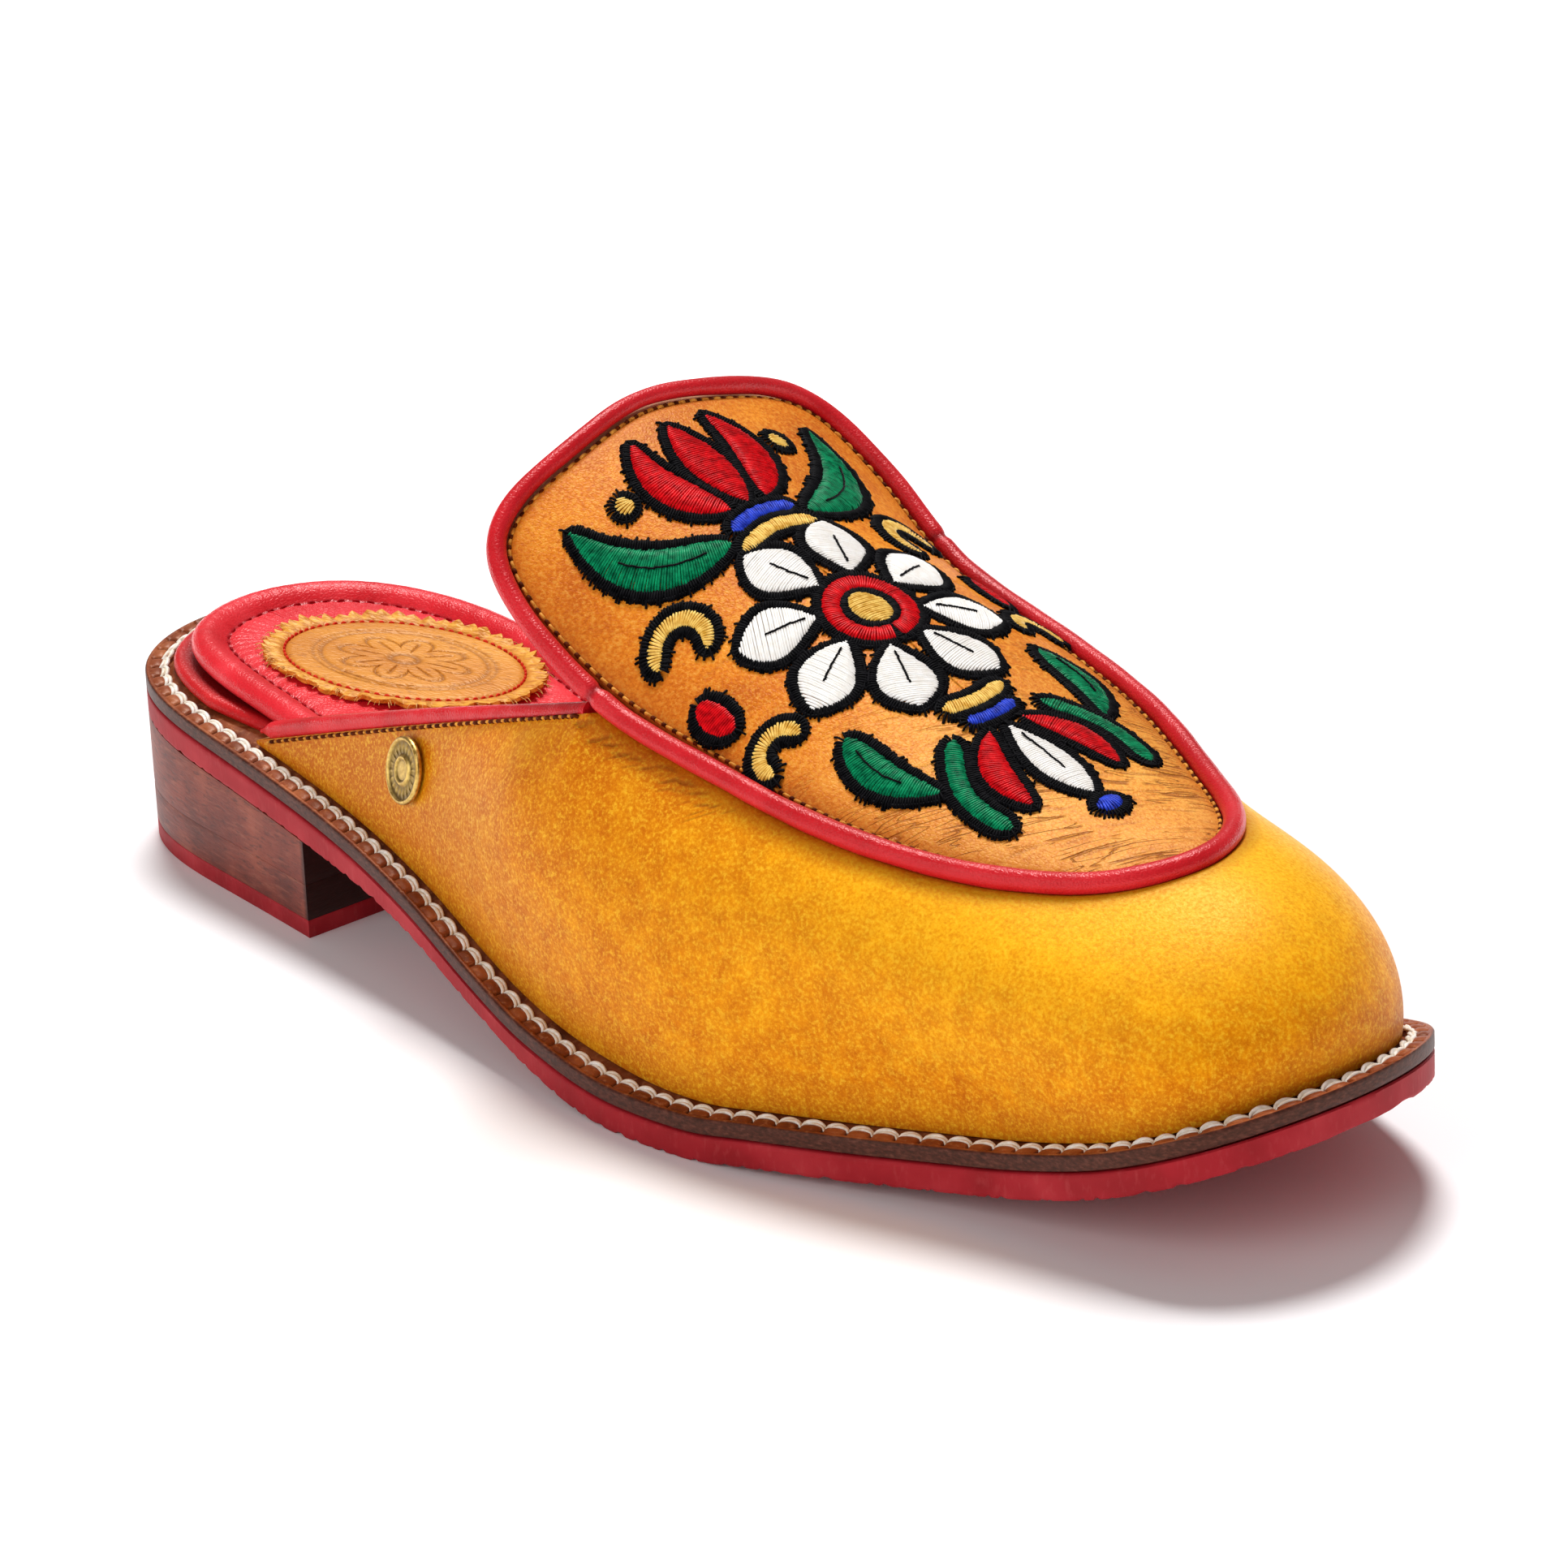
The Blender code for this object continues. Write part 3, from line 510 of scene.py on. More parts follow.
columns = STITCHES * STITCH_COLUMNS
phase = (np.arange(columns) % STITCH_COLUMNS) / STITCH_COLUMNS
bead = np.sin(np.pi * phase) ** 0.26
wear = 1 + 0.25 * np.sin(np.arange(columns) * 0.013) * np.sin(np.arange(columns) * 0.0391)
welt_net, wheel_mark_and_shade = [], []
for margin, height, share, _ in WELT_PROFILE:
    ring, _ = round_edge(margin, columns)
    swell = share * (0.00012 * bead - 0.00075 * (1 - bead)) * wear
    welt_net.append(lift(ring, WELT_BOTTOM + height + swell))
    # Gaps between the beads, darkened partly as the wheel's mark and partly as painted shade
    wheel_mark_and_shade.append(share * np.clip(1 - 1.5 * bead, 0, 1))
welt = skin("welt_strip", welt_net, around=True, through=True,
            marks={"stain": [row[3:] for row in WELT_PROFILE], "pressed_and_shaded": wheel_mark_and_shade})

material("welt_leather", Roughness=0.42, Specular_IOR_Level=0.34, Specular_Tint=(1, 0.7, 0.5, 1))
fibre = noise(placed((1, 1, 2.2)), 1000, 4, 0.6)
cloud = noise(placed(), 160, 3)
top_tone = colours(cloud, (0.30, 106, 46, 20), (0.50, 136, 64, 30), (0.72, 170, 96, 54))
top_tone = mixed(between(fibre, 0.53, 0.70, 0, 0.4), top_tone, (206, 140, 92))
# Gaps between the beads: partly the wheel's dark mark, partly painted shade.
top_tone = mixed(mark("pressed_and_shaded"), top_tone, (44, 16, 10))
side_tone = colours(fibre, (0.35, 48, 19, 15), (0.52, 72, 33, 26), (0.70, 98, 54, 44))
tone = mixed(between(mark("stain"), 0.35, 0.75), top_tone, side_tone)
paint(welt, tone)
bump(fibre, 0.00010, 0.7)
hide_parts("welt")


# Welt stitches
# Waxed cream thread of two twisted plies, locked through welt and outsole close to the upper.
# Each stitch bows up out of one hole and dips into the next.
WELT_THREAD = 0.0014
WELT_STITCH_IN = 0.0026
WELT_STITCH_IN_AT_HEEL = 0.0036
STITCH_BOW = 0.0007
UP = np.array((0, 0, 1.0))


def sew(name, stitches, thickness, finish, sides=1):
    """One piece of many short threads, each a row of layout points and their share of width."""
    run = bpy.data.curves.new(name, "CURVE")
    run.dimensions = "3D"
    run.bevel_depth = thickness / 2
    run.bevel_resolution = sides
    run.use_fill_caps = True
    for points, widths in stitches:
        thread = run.splines.new("POLY")
        thread.points.add(len(points) - 1)
        thread.points.foreach_set("co", np.column_stack([points - MIDDLE,
                                                         np.ones(len(points))]).ravel())
        thread.points.foreach_set("radius", np.broadcast_to(widths, len(points)))
    loose = bpy.data.objects.new(name, run)
    put_in(loose)
    depsgraph = bpy.context.evaluated_depsgraph_get()
    mesh = bpy.data.meshes.new_from_object(loose.evaluated_get(depsgraph))
    bpy.data.objects.remove(loose)
    mesh.polygons.foreach_set("use_smooth", [True] * len(mesh.polygons))
    mesh.materials.clear()
    mesh.materials.append(finish)
    return riding(name, mesh)


def thread_finish(name, dark, light, roughness=0.5, shine=0.4):
    """Dyed thread: the tone changes a little from fibre to fibre, with a soft shine."""
    material(name, Roughness=roughness, Specular_IOR_Level=shine, Specular_Tint=srgb(*light))
    tone = colours(noise(placed(), 900, 2), (0.32, *dark), (0.68, *light))
    tree.links.new(tone, shader.inputs["Base Color"])
    return finish


def arch(start, end, up, rise, sunk, count=7):
    """Points of a thread that leaves one hole, lies on the leather and dips in the next."""
    share = np.linspace(0, 1, count)[:, None]
    over = np.clip(np.sin(np.pi * share), 0, 1) ** 0.5
    return start + (end - start) * share + up * ((rise + sunk) * over - sunk)


def running(holes, rise, sunk):
    """Running stitches along a row of holes: over one gap and under the next."""
    return [(arch(start, end, UP, rise, sunk), 1.0) for start, end in zip(holes[::2], holes[1::2])]


cream_thread = thread_finish("cream_waxed_thread", (232, 220, 196), (255, 253, 246), 0.4)
ring, way = round_edge(0.0, STITCHES)
further = np.interp(ring[:, 0], (-0.06, 0.02), (WELT_STITCH_IN_AT_HEEL, WELT_STITCH_IN))
holes = lift(ring + way * further[:, None], WELT_TOP)
welt_stitches = []
for k in range(STITCHES):
    start, end = holes[k], holes[(k + 1) % STITCHES]
    spine = arch(start, end, UP, 0.00012, 0.0006, 11)
    bow = np.sin(np.pi * np.linspace(0, 1, 11))[:, None] ** 0.55
    spine[:, :2] += way[k] * STITCH_BOW * bow
    across = unit(np.cross(end - start, UP))
    lie = np.linspace(-0.5, 0.9, 11)[:, None] + 0.3 * np.sin(k * 2.3)
    wind = np.cos(lie) * across + np.sin(lie) * UP
    for side in (-1, 1):
        welt_stitches.append((spine + wind * side * WELT_THREAD * 0.24, 0.5 + 0.5 * bow[:, 0]))
welt_seam = sew("welt_stitches", welt_stitches, WELT_THREAD * 0.58, cream_thread)


# Plug and tongue
# One piece of softer orange tan leather, cut to a long oval that stands up as the tongue.  It
# creases across the toe end where the foot bends, and dips into the seam all round its edge.
INSTEP_HEIGHT = 0.0953
THROAT = 0.1425
PLUG_THICK = 0.0012
PLUG_HALF_WIDTH = 0.0380
PLUG_OFFSET = 0.0041
PLUG_SKEW = -0.012
PLUG_TILT = 0.0027
PIPING = 0.0035
PIPING_TAPER = 0.22
RECESS = PLUG_THICK + CLEARANCE
GROOVE_HALF = PIPING / 2 + CLEARANCE
LINING = 0.0014
SEAM_DIP = 0.0011
# Share of the length, share of the plug's half width: front point to the tongue's top
PLUG_SHAPE = (
    (0.878, 0.000), (0.861, 0.286), (0.809, 0.545), (0.720, 0.795), (0.621, 0.890),
    (0.530, 0.945), (0.460, 0.970), (0.433, 0.905), (0.420, 0.450), (0.415, 0.000),
)
# Share of the length, ridge height and fall at the plug's edge as shares of the instep height
PLUG_HEIGHT = (
    (0.40, 1.000, 0.111), (0.48, 0.902, 0.156), (0.55, 0.819, 0.201), (0.64, 0.728, 0.173),
    (0.74, 0.622, 0.134), (0.81, 0.565, 0.140), (0.90, 0.526, 0.187),
)
ridge = level_line([(x, h * INSTEP_HEIGHT) for x, h, _ in PLUG_HEIGHT])
fall = level_line([(x, f * INSTEP_HEIGHT) for x, _, f in PLUG_HEIGHT])


def middle(x):
    return PLUG_OFFSET + PLUG_SKEW * (x - THROAT)


def plug_surface(plan):
    """Points of the plug's surface over plan points, with their upward directions."""
    def height(x, y):
        side = (y - middle(x)) / PLUG_HALF_WIDTH
        return ridge(x) + PLUG_TILT * side - fall(x) * side * side

    x, y = plan[..., 0], plan[..., 1]
    small = 0.0005
    down_x = (height(x - small, y) - height(x + small, y)) / (2 * small)
    down_y = (height(x, y - small) - height(x, y + small)) / (2 * small)
    normal = unit(np.stack([down_x, down_y, np.ones_like(x)], axis=-1))
    return np.stack([x, y, height(x, y)], axis=-1), normal


plug_half = [(x * LENGTH, w * PLUG_HALF_WIDTH) for x, w in PLUG_SHAPE]
plug_round = spline(plug_half + [(x, -w) for x, w in plug_half[-2:0:-1]], closed=True)
PLUG_EDGE = np.roll(plug_round(np.linspace(0, 1, DENSE, endpoint=False))[::-1], 1, axis=0)
PLUG_IN = inward(PLUG_EDGE)


def plug_edge(share, spread):
    """Plan points round the plug: 0 at its front, 1 or -1 at the middle of the tongue's top."""
    ring = PLUG_EDGE - PLUG_IN * spread
    place = np.asarray(share) * -DENSE / 2
    x, w = (np.interp(place, np.arange(DENSE + 1), np.r_[c, c[0]], period=DENSE) for c in ring.T)
    return np.stack([x, middle(x) + w], axis=-1)


def plug_net(spread, columns, rows):
    """Plan net of the plug from its edge in to the ridge."""
    share = -np.linspace(0, 2, columns, endpoint=False)
    edge = plug_edge(share, spread)
    low, high = edge[:, 0].min(), edge[:, 0].max()
    x = low + 0.012 + (high - low - 0.046) * (edge[:, 0] - low) / (high - low)
    spine = np.stack([x, middle(x)], axis=1)
    step = np.linspace(0, 1, rows)[:, None, None]
    return edge + (spine - edge) * step


def creases(points, strokes):
    """Depth at the points of soft troughs, each along a bent stroke with a ridge beside it."""
    depth = np.zeros(points.shape[:-1])
    for start, heading, length, bend, width, deep in strokes:
        way = np.array((np.cos(heading), np.sin(heading)))
        offset = points[..., :2] - start
        along = offset @ way / length
        side = offset @ np.array((-way[1], way[0])) - bend * along * (1 - along)
        fade = np.clip(np.minimum(along, 1 - along) * 4, 0, 1)
        depth += deep * fade * (hill(side, 0, width)
                                - 0.55 * hill(side, 1.9 * width, 1.3 * width))
    return depth


rng = np.random.default_rng(7)
CREASE_HEADING = np.radians(59)
plug_strokes = []
for _ in range(60):
    x = 0.190 + 0.046 * rng.random() ** 0.8
    y = middle(x) + rng.uniform(-0.026, 0.016)
    plug_strokes.append(((x, y), CREASE_HEADING + rng.uniform(-0.22, 0.22),
                         rng.uniform(0.005, 0.013), rng.uniform(-0.0015, 0.0015),
                         rng.uniform(0.00028, 0.00045), rng.uniform(0.00006, 0.00016)))
for _ in range(26):
    side = rng.choice((-1, 1))
    x = rng.uniform(0.135, 0.19)
    y = middle(x) + side * rng.uniform(0.012, 0.03)
    plug_strokes.append(((x, y), CREASE_HEADING + rng.uniform(-0.5, 0.5),
                         rng.uniform(0.004, 0.009), 0.0008, 0.0004, rng.uniform(0.00003, 0.00009)))

PLUG_COLUMNS, PLUG_ROWS = 672, 76
top_plan = plug_net(-GROOVE_HALF + 0.0009, PLUG_COLUMNS, PLUG_ROWS)
surface, normal = plug_surface(top_plan)
edge_way = np.linalg.norm(top_plan - top_plan[:1], axis=-1)
dip = SEAM_DIP * np.exp(-edge_way / SEAM_DIP)
trough = creases(top_plan, plug_strokes)
top = surface - normal * (dip + trough)[..., None]
low = np.linspace(PLUG_ROWS - 1, 0, 6).astype(int)
bottom = (surface - normal * (PLUG_THICK + dip[..., None]))[low]
toe_end = np.clip((top_plan[..., 0] - 0.176) / 0.03, 0, 1)
rim = np.exp(-edge_way / 0.0045)
plug = skin("plug_leather", np.vstack([top, bottom]), around=True,
            marks={"trough": np.vstack([trough, 0 * trough[low]]) * 6000,
                   **{key: np.vstack([values, values[low]]) for key, values in (
                       ("toe_end", toe_end), ("rim", rim), ("seam", dip / SEAM_DIP))}})

skin_grain = bpy.data.node_groups.new("skin_grain", "ShaderNodeTree")
for socket, kind, way_in in (("Place", "NodeSocketVector", "INPUT"),
                             ("Fineness", "NodeSocketFloat", "INPUT"),
                             ("Pores", "NodeSocketFloat", "OUTPUT"),
                             ("Speckle", "NodeSocketFloat", "OUTPUT"),
                             ("Cloud", "NodeSocketFloat", "OUTPUT")):
    skin_grain.interface.new_socket(socket, in_out=way_in, socket_type=kind)
tree = skin_grain
given = node("NodeGroupInput")
cells = node("ShaderNodeTexVoronoi", {
    "Vector": given.outputs["Place"], "Scale": given.outputs["Fineness"]},
    feature="DISTANCE_TO_EDGE")
cloud_scale = maths("MULTIPLY", given.outputs["Fineness"], 0.06)
speckle = noise(given.outputs["Place"], given.outputs["Fineness"], 3, 0.6)
broad = noise(given.outputs["Place"], cloud_scale, 3)
pores = between(cells.outputs["Distance"], 0.0, 0.25)
node("NodeGroupOutput", {"Pores": pores, "Speckle": speckle, "Cloud": broad})


def grain(fineness, stretch=(1, 1, 1), turn=0.0):
    """The grain group in a material: pores for bumps, a fine speckle and a broad cloud."""
    made = node("ShaderNodeGroup", node_tree=skin_grain)
    tree.links.new(placed(stretch, turn), made.inputs["Place"])
    made.inputs["Fineness"].default_value = fineness
    return made.outputs["Pores"], made.outputs["Speckle"], made.outputs["Cloud"]


material("plug_leather", Roughness=0.47, Specular_IOR_Level=0.4, Specular_Tint=(1, 0.6, 0.28, 1))
pores, speckle, cloud = grain(1500)
# Fine crease lines at the toe end, used as bumps and as painted shade.
fine_creases = None
broken = noise(placed(), 120, 2)
for fineness, where in ((430, (1.0, 0.09, 0.3)), (680, (1.0, 0.10, 0.3))):
    wavy = noise(placed(where, CREASE_HEADING - np.pi / 2), fineness, 1.3, 0.5)
    line = maths("ABSOLUTE", maths("SUBTRACT", wavy, 0.5))
    line = maths("MULTIPLY", between(line, 0.016, 0.003),
                 between(broken, 0.44, 0.50))
    fine_creases = line if fine_creases is None else maths("MAXIMUM", fine_creases, line)
fine_creases = maths("MULTIPLY", fine_creases, between(mark("toe_end"), 0, 1, 0.06, 1.0))
tone = colours(cloud, (0.28, 203, 102, 12), (0.50, 227, 127, 19), (0.74, 244, 151, 33))
pale = colours(cloud, (0.28, 223, 138, 46), (0.50, 242, 160, 58), (0.74, 255, 184, 83))
tone = mixed(mark("toe_end"), tone, pale)
tone = mixed(between(speckle, 0.50, 0.66, 0, 0.35), tone, (255, 199, 87))
tone = mixed(between(speckle, 0.50, 0.36, 0, 0.8), tone, (229, 205, 166), "MULTIPLY")
tone = mixed(mark("rim", 0.55), tone, (160, 73, 19))
# Painted shade: the fine creases, the crease troughs and the dip into the seam by the piping are
# painted darker.
tone = mixed(maths("MULTIPLY", fine_creases, 0.7), tone, (138, 62, 18))
tone = mixed(between(mark("trough"), 0.1, 0.8, 0, 0.5), tone, (146, 69, 21))
tone = mixed(between(mark("seam"), 0.3, 1.0, 0, 0.8), tone, (103, 43, 12))
paint(plug, tone)
relief = maths("SUBTRACT", maths("MULTIPLY", pores, 0.15), fine_creases)
bump(relief, 0.00025, 0.9)
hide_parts("plug")


# Upper
# Vamp and quarters in one: mustard calf, brushed and waxed, lasted over the toe and down to the
# welt.  The side walls carry on under the plug as a thin lining that stands up as the tongue.
# Its tone has a painted highlight on the toe top and painted shade by the welt, the throat, the
# back of the quarters, the top edge under the piping and in the pleats.
WALL = 0.0024
UPPER_BOTTOM = WELT_TOP + CLEARANCE
QUARTER_END = 0.047
QUARTER_END_HEIGHT = 0.0006
TOPLINE_BOW = 0.06
INNER_SHOULDER = 1.2
HIDE = (0.3, 188, 140, 92), (0.7, 212, 168, 120)

throat_test = np.linspace(0.2, 0.9, 400)
SHARE_AT_THROAT = float(np.interp(-THROAT, -plug_edge(throat_test, 0.0)[:, 0], throat_test))


def feather(a):
    """Foot of the wall on the welt and its outward direction; 0 toe, 1 throat, 2 back end."""
    point, out = np.zeros((len(a), 3)), np.zeros((len(a), 3))
    for half, side in zip(halves(WELT_MARGIN), (1, -1)):
        line = half[::-1]
        run = np.r_[0, np.cumsum(np.linalg.norm(np.diff(line, axis=0), axis=1))]
        stops = np.interp((-THROAT, -QUARTER_END), -line[:, 0], run)
        chosen = (np.sign(a) == side) | ((a == 0) & (side == 1))
        at = np.interp(np.abs(a[chosen]), (0, 1, 2), (0, *stops))
        place, ahead, behind = (np.stack([np.interp(at + d, run, c) for c in line.T], axis=1)
                                for d in (0, 0.002, -0.002))
        along = ahead - behind
        out[chosen, :2] = unit(np.stack([along[:, 1], -along[:, 0]], axis=1)) * side
        point[chosen, :2] = place
    out[a == 0] = (1, 0, 0)
    point[:, 2] = under(point[:, 0]) + UPPER_BOTTOM
    return point, out


def wall_top(a):
    """Top of the wall: along the plug as far as the throat, then down the topline."""
    front = np.clip(a, -1, 1) * SHARE_AT_THROAT
    plan = plug_edge(front, GROOVE_HALF)
    point, normal = plug_surface(plan)
    out = plan - plug_edge(front, 0.0)
    out = unit(np.column_stack([out, np.zeros(len(a))]))
    down = unit(out - normal * (out * normal).sum(axis=1, keepdims=True))
    behind = np.abs(a) > 1
    if behind.any():
        share = 2 - np.abs(a[behind])
        foot, _ = feather(a[behind])
        foot_at_throat, _ = feather(np.sign(a[behind]))
        start = point[behind]
        rise = share + TOPLINE_BOW * share * (1 - share)
        end = under(QUARTER_END) + UPPER_BOTTOM + QUARTER_END_HEIGHT
        lean = (start - foot_at_throat) * share[:, None] ** 1.5
        point[behind, :2] = foot[:, :2] + lean[:, :2]
        point[behind, 2] = end + (start[:, 2] - end) * rise
        down[behind] = unit(down[behind] * share[:, None] ** 2 + (0, 0, -1) * (1 - share[:, None]))
    return point, down


def wall(a, t):
    """Outer surface of the vamp and quarters: a round the shoe, t up from the welt."""
    a = np.asarray(a, float)
    foot, out = feather(a)
    top, down = wall_top(a)
    reach = np.linalg.norm(top - foot, axis=1, keepdims=True)
    inner_side = np.clip(a * 2.5, 0, 1)[:, None]
    toe = np.clip(1 - np.abs(a) * 2, 0, 1)[:, None]
    lean = 0.10 - 0.05 * np.clip(np.abs(a) - 1, 0, 1)[:, None] + 0.06 * toe
    shoulder = hill(a, 0.40, 0.15)[:, None]
    down = unit(down - np.array((0, 0, INNER_SHOULDER)) * shoulder)
    first = foot + 0.42 * reach * (out * lean + (0, 0, 1))
    second = top + (0.40 - 0.25 * inner_side) * reach * down
    t = np.asarray(t, float)[:, None]
    return ((1 - t) ** 3 * foot + 3 * (1 - t) ** 2 * t * first
            + 3 * (1 - t) * t * t * second + t ** 3 * top)


def wall_normal(a, t):
    small = 0.01
    low, high = np.clip(t - small, 0, 1), np.clip(t + small, 0, 1)
    limit = np.where(np.abs(a) > 1, 2, 1)
    left, right = np.clip(a - small, -limit, limit), np.clip(a + small, -limit, limit)
    return unit(np.cross(wall(right, t) - wall(left, t), wall(a, high) - wall(a, low)))


def spaced(low, high, count, crowd):
    """Values from low to high, closer together where crowd, a function of them, is large."""
    even = np.linspace(low, high, 4000)
    run = np.cumsum(crowd(even))
    return np.interp(np.linspace(run[0], run[-1], count), run, even)


around_shoe = spaced(-2, 2, 761, lambda a: 1 + 3.2 * hill(np.abs(a), 0.87, 0.11))
around_shoe[380] = 0.0
up_wall = spaced(0, 1, 88, lambda t: 1 + 2.0 * hill(t, 0.88, 0.12))
grid_a, grid_t = np.meshgrid(around_shoe, up_wall)
flat_a, flat_t = grid_a.ravel(), grid_t.ravel()
outer = wall(flat_a, flat_t)
facing = wall_normal(flat_a, flat_t)

# Below its top edge the leather runs smoothly past the throat.
eased = sum(wall(np.clip(flat_a + step, -2, 2), flat_t)
            for step in np.linspace(-0.13, 0.13, 15)) / 15
share = np.exp(-((np.abs(flat_a) - 1) / 0.16) ** 4) * np.clip((1 - flat_t) / 0.2, 0, 1) ** 0.7
outer += (eased - outer) * share[:, None]

# Short creases run back and down from the piping in front of each throat.
pleats = np.zeros(len(outer))
for side in (-1, 1):
    here = (np.sign(flat_a) == side) & (np.abs(flat_a) < 1.02) & (flat_t > 0.4)
    starts, _ = wall_top(side * np.linspace(0.70, 0.985, 34))
    strokes = [((x - rng.uniform(-0.0006, 0.0022), z - rng.uniform(-0.0004, 0.0010)),
                np.pi + 0.22 + rng.uniform(-0.28, 0.28), rng.uniform(0.0025, 0.0075),
                rng.uniform(-0.0007, 0.0007), rng.uniform(0.00018, 0.00030),
                rng.uniform(0.00006, 0.00015)) for x, _, z in starts]
    pleats[here] = creases(outer[here][:, (0, 2)], strokes)
soft = 0.00022 * (np.sin(outer[:, 0] * 110 + outer[:, 2] * 160)
                  * np.sin(outer[:, 1] * 95 - outer[:, 2] * 120 + 1.3))
soft *= np.sin(np.pi * np.clip(flat_t, 0, 1))
outer = outer - facing * (pleats + soft)[:, None]
grid_shape = (*grid_a.shape, 3)
inner = wall(flat_a, flat_t) - facing * WALL
outer, inner = outer.reshape(grid_shape), inner.reshape(grid_shape)

# In front of the throat the top edge is turned in under the piping.
turned_in = np.clip((1 - np.abs(around_shoe)) / 0.02, 0, 1)[:, None]
tucked = []
for spread, sunk in ((0.60, 0.0005), (0.20, 0.0014)):
    folded, up = plug_surface(plug_edge(np.clip(around_shoe, -1, 1) * SHARE_AT_THROAT,
                                        GROOVE_HALF * spread))
    tucked.append(outer[-1] + (folded - up * sunk - outer[-1]) * turned_in)
inner_rows = np.vstack([tucked, inner[::-1][np.linspace(0, 87, 14).astype(int)]])
# Painted shade: the wall is painted darker towards its foot by the welt.
low_edge_shade = np.clip(1 - grid_t / 0.16, 0, 1)
# Painted shade: darker by the throat and towards the back of the quarters.
throat_shade = hill(np.abs(grid_a), 0.93, 0.22) * np.clip(grid_t * 1.8 - 0.8, 0, 1)
quarter_shade = np.clip((np.abs(grid_a) - 0.75) / 0.9, 0, 1)
# Painted highlight: the toe top is painted lighter where the light shines on it.
toe_highlight = hill(grid_a, 0, 0.55) * np.clip(grid_t * 1.5 - 0.25, 0, 1)
# Painted shade: the top edge under the piping, and its turned-in strip, are painted darker.
top_edge_shade = np.clip((grid_t - 0.93) / 0.07, 0, 1) * (np.abs(grid_a) < 1)
inside = np.ones(inner_rows.shape[:2])
lined = inside.copy()
lined[:len(tucked)] = 0


def both(values, beyond=0.0):
    """Values on the outer wall, with one value all over the lining."""
    return np.vstack([values, inside * beyond])


vamp = skin("vamp_and_quarters", np.vstack([outer, inner_rows]), through=True,
            marks={"low_edge_shade": both(low_edge_shade), "throat": both(throat_shade),
                   "quarter": both(quarter_shade), "toe_highlight": both(toe_highlight),
                   "top_edge_shade": both(top_edge_shade, 1.0), "lining": both(0 * grid_a, lined),
                   "pleat_shade": both(pleats.reshape(grid_a.shape) * 7000)})

material("mustard_calf", Specular_IOR_Level=0.2, Specular_Tint=(1, 0.66, 0.2, 1))
pores, _, cloud = grain(1900, (1, 1, 0.6))
fleck = noise(placed(), 1700, 4, 0.7)
blotch = noise(placed(), 240, 4, 0.65)
tone = colours(blotch, (0.30, 208, 112, 4), (0.50, 226, 135, 6), (0.70, 243, 159, 10))
# Painted highlight on the toe top.
tone = mixed(mark("toe_highlight", 0.75), tone, (255, 198, 30))
# Painted shade towards the back of the quarters and by the throat.
tone = mixed(mark("quarter", 0.8), tone, (195, 105, 10))
tone = mixed(mark("throat", 0.6), tone, (202, 105, 18))
# Painted shade at the foot of the wall by the welt.
tone = mixed(mark("low_edge_shade", 0.6), tone, (191, 112, 24))
tone = mixed(between(cloud, 0.55, 0.75, 0, 0.3), tone, (255, 183, 24))
tone = mixed(between(fleck, 0.50, 0.66, 0, 0.5), tone, (255, 213, 54))
tone = mixed(between(fleck, 0.50, 0.36), tone, (243, 221, 164), "MULTIPLY")
# Painted shade in the creases in front of the throat.
tone = mixed(between(mark("pleat_shade"), 0.12, 0.8, 0, 0.5), tone, (122, 58, 16))
# Painted shade under the piping.
tone = mixed(mark("top_edge_shade", 0.5), tone, (141, 67, 16))
tone = mixed(mark("lining"), tone, colours(cloud, *HIDE))
paint(vamp, tone)
tree.links.new(between(fleck, 0.35, 0.65, 0.52, 0.36), shader.inputs["Roughness"])
relief = maths("ADD", maths("MULTIPLY", pores, 0.3), fleck)
bump(relief, 0.00008, 0.5)
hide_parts("upper")

lining_plan = plug_net(PIPING / 4, 300, 24)
lining_top, lining_up = plug_surface(lining_plan)
tongue_lining = skin("tongue_lining", np.vstack([
    lining_top - lining_up * RECESS, (lining_top - lining_up * (RECESS + LINING))[::-1]]),
    around=True)
material("tan_lining", Roughness=0.6)
pores, _, cloud = grain(1200)
paint(tongue_lining, colours(cloud, *HIDE))
bump(pores, 0.00006, 0.5)


# Piping
# Red calf wrapped round a cord and caught in the seam round the plug.  It goes on up as the
# tongue's edge, and its two lengths are pinched together at each side of the throat.
RED_GRAIN = 1500
PIPING_COLUMNS, PIPING_SIDES = 760, 16
share = np.linspace(0, 2, PIPING_COLUMNS, endpoint=False)
cord_plan = plug_edge(-share, 0.0)
cord_surface, cord_up = plug_surface(cord_plan)
cord_centre = cord_surface + cord_up * (PIPING / 2 + CLEARANCE - RECESS)
cord_along = unit(np.roll(cord_centre, -1, axis=0) - np.roll(cord_centre, 1, axis=0))
cord_side = unit(np.cross(cord_along, cord_up))
cord_top = np.cross(cord_side, cord_along)
pinch = np.zeros(PIPING_COLUMNS)
for at in (SHARE_AT_THROAT, 2 - SHARE_AT_THROAT):
    pinch += hill(share, at, 0.005)
uneven = 1 + 0.02 * np.sin(share * 41) + 0.015 * np.sin(share * 97 + 2)
on_tongue = np.clip((1 - np.abs(share - 1) - SHARE_AT_THROAT) / (1 - SHARE_AT_THROAT), 0, 1)
radius = PIPING / 2 * (1 - PIPING_TAPER * on_tongue) * uneven * (1 - 0.22 * pinch)
angle = 2 * np.pi * np.arange(PIPING_SIDES) / PIPING_SIDES
piping_net = [cord_centre + radius[:, None] * (np.cos(turn) * cord_side + np.sin(turn) * cord_top)
              for turn in angle]
piping = skin("plug_piping_cord", piping_net, around=True, through=True,
              marks={"joint": np.tile(pinch, (PIPING_SIDES, 1))})


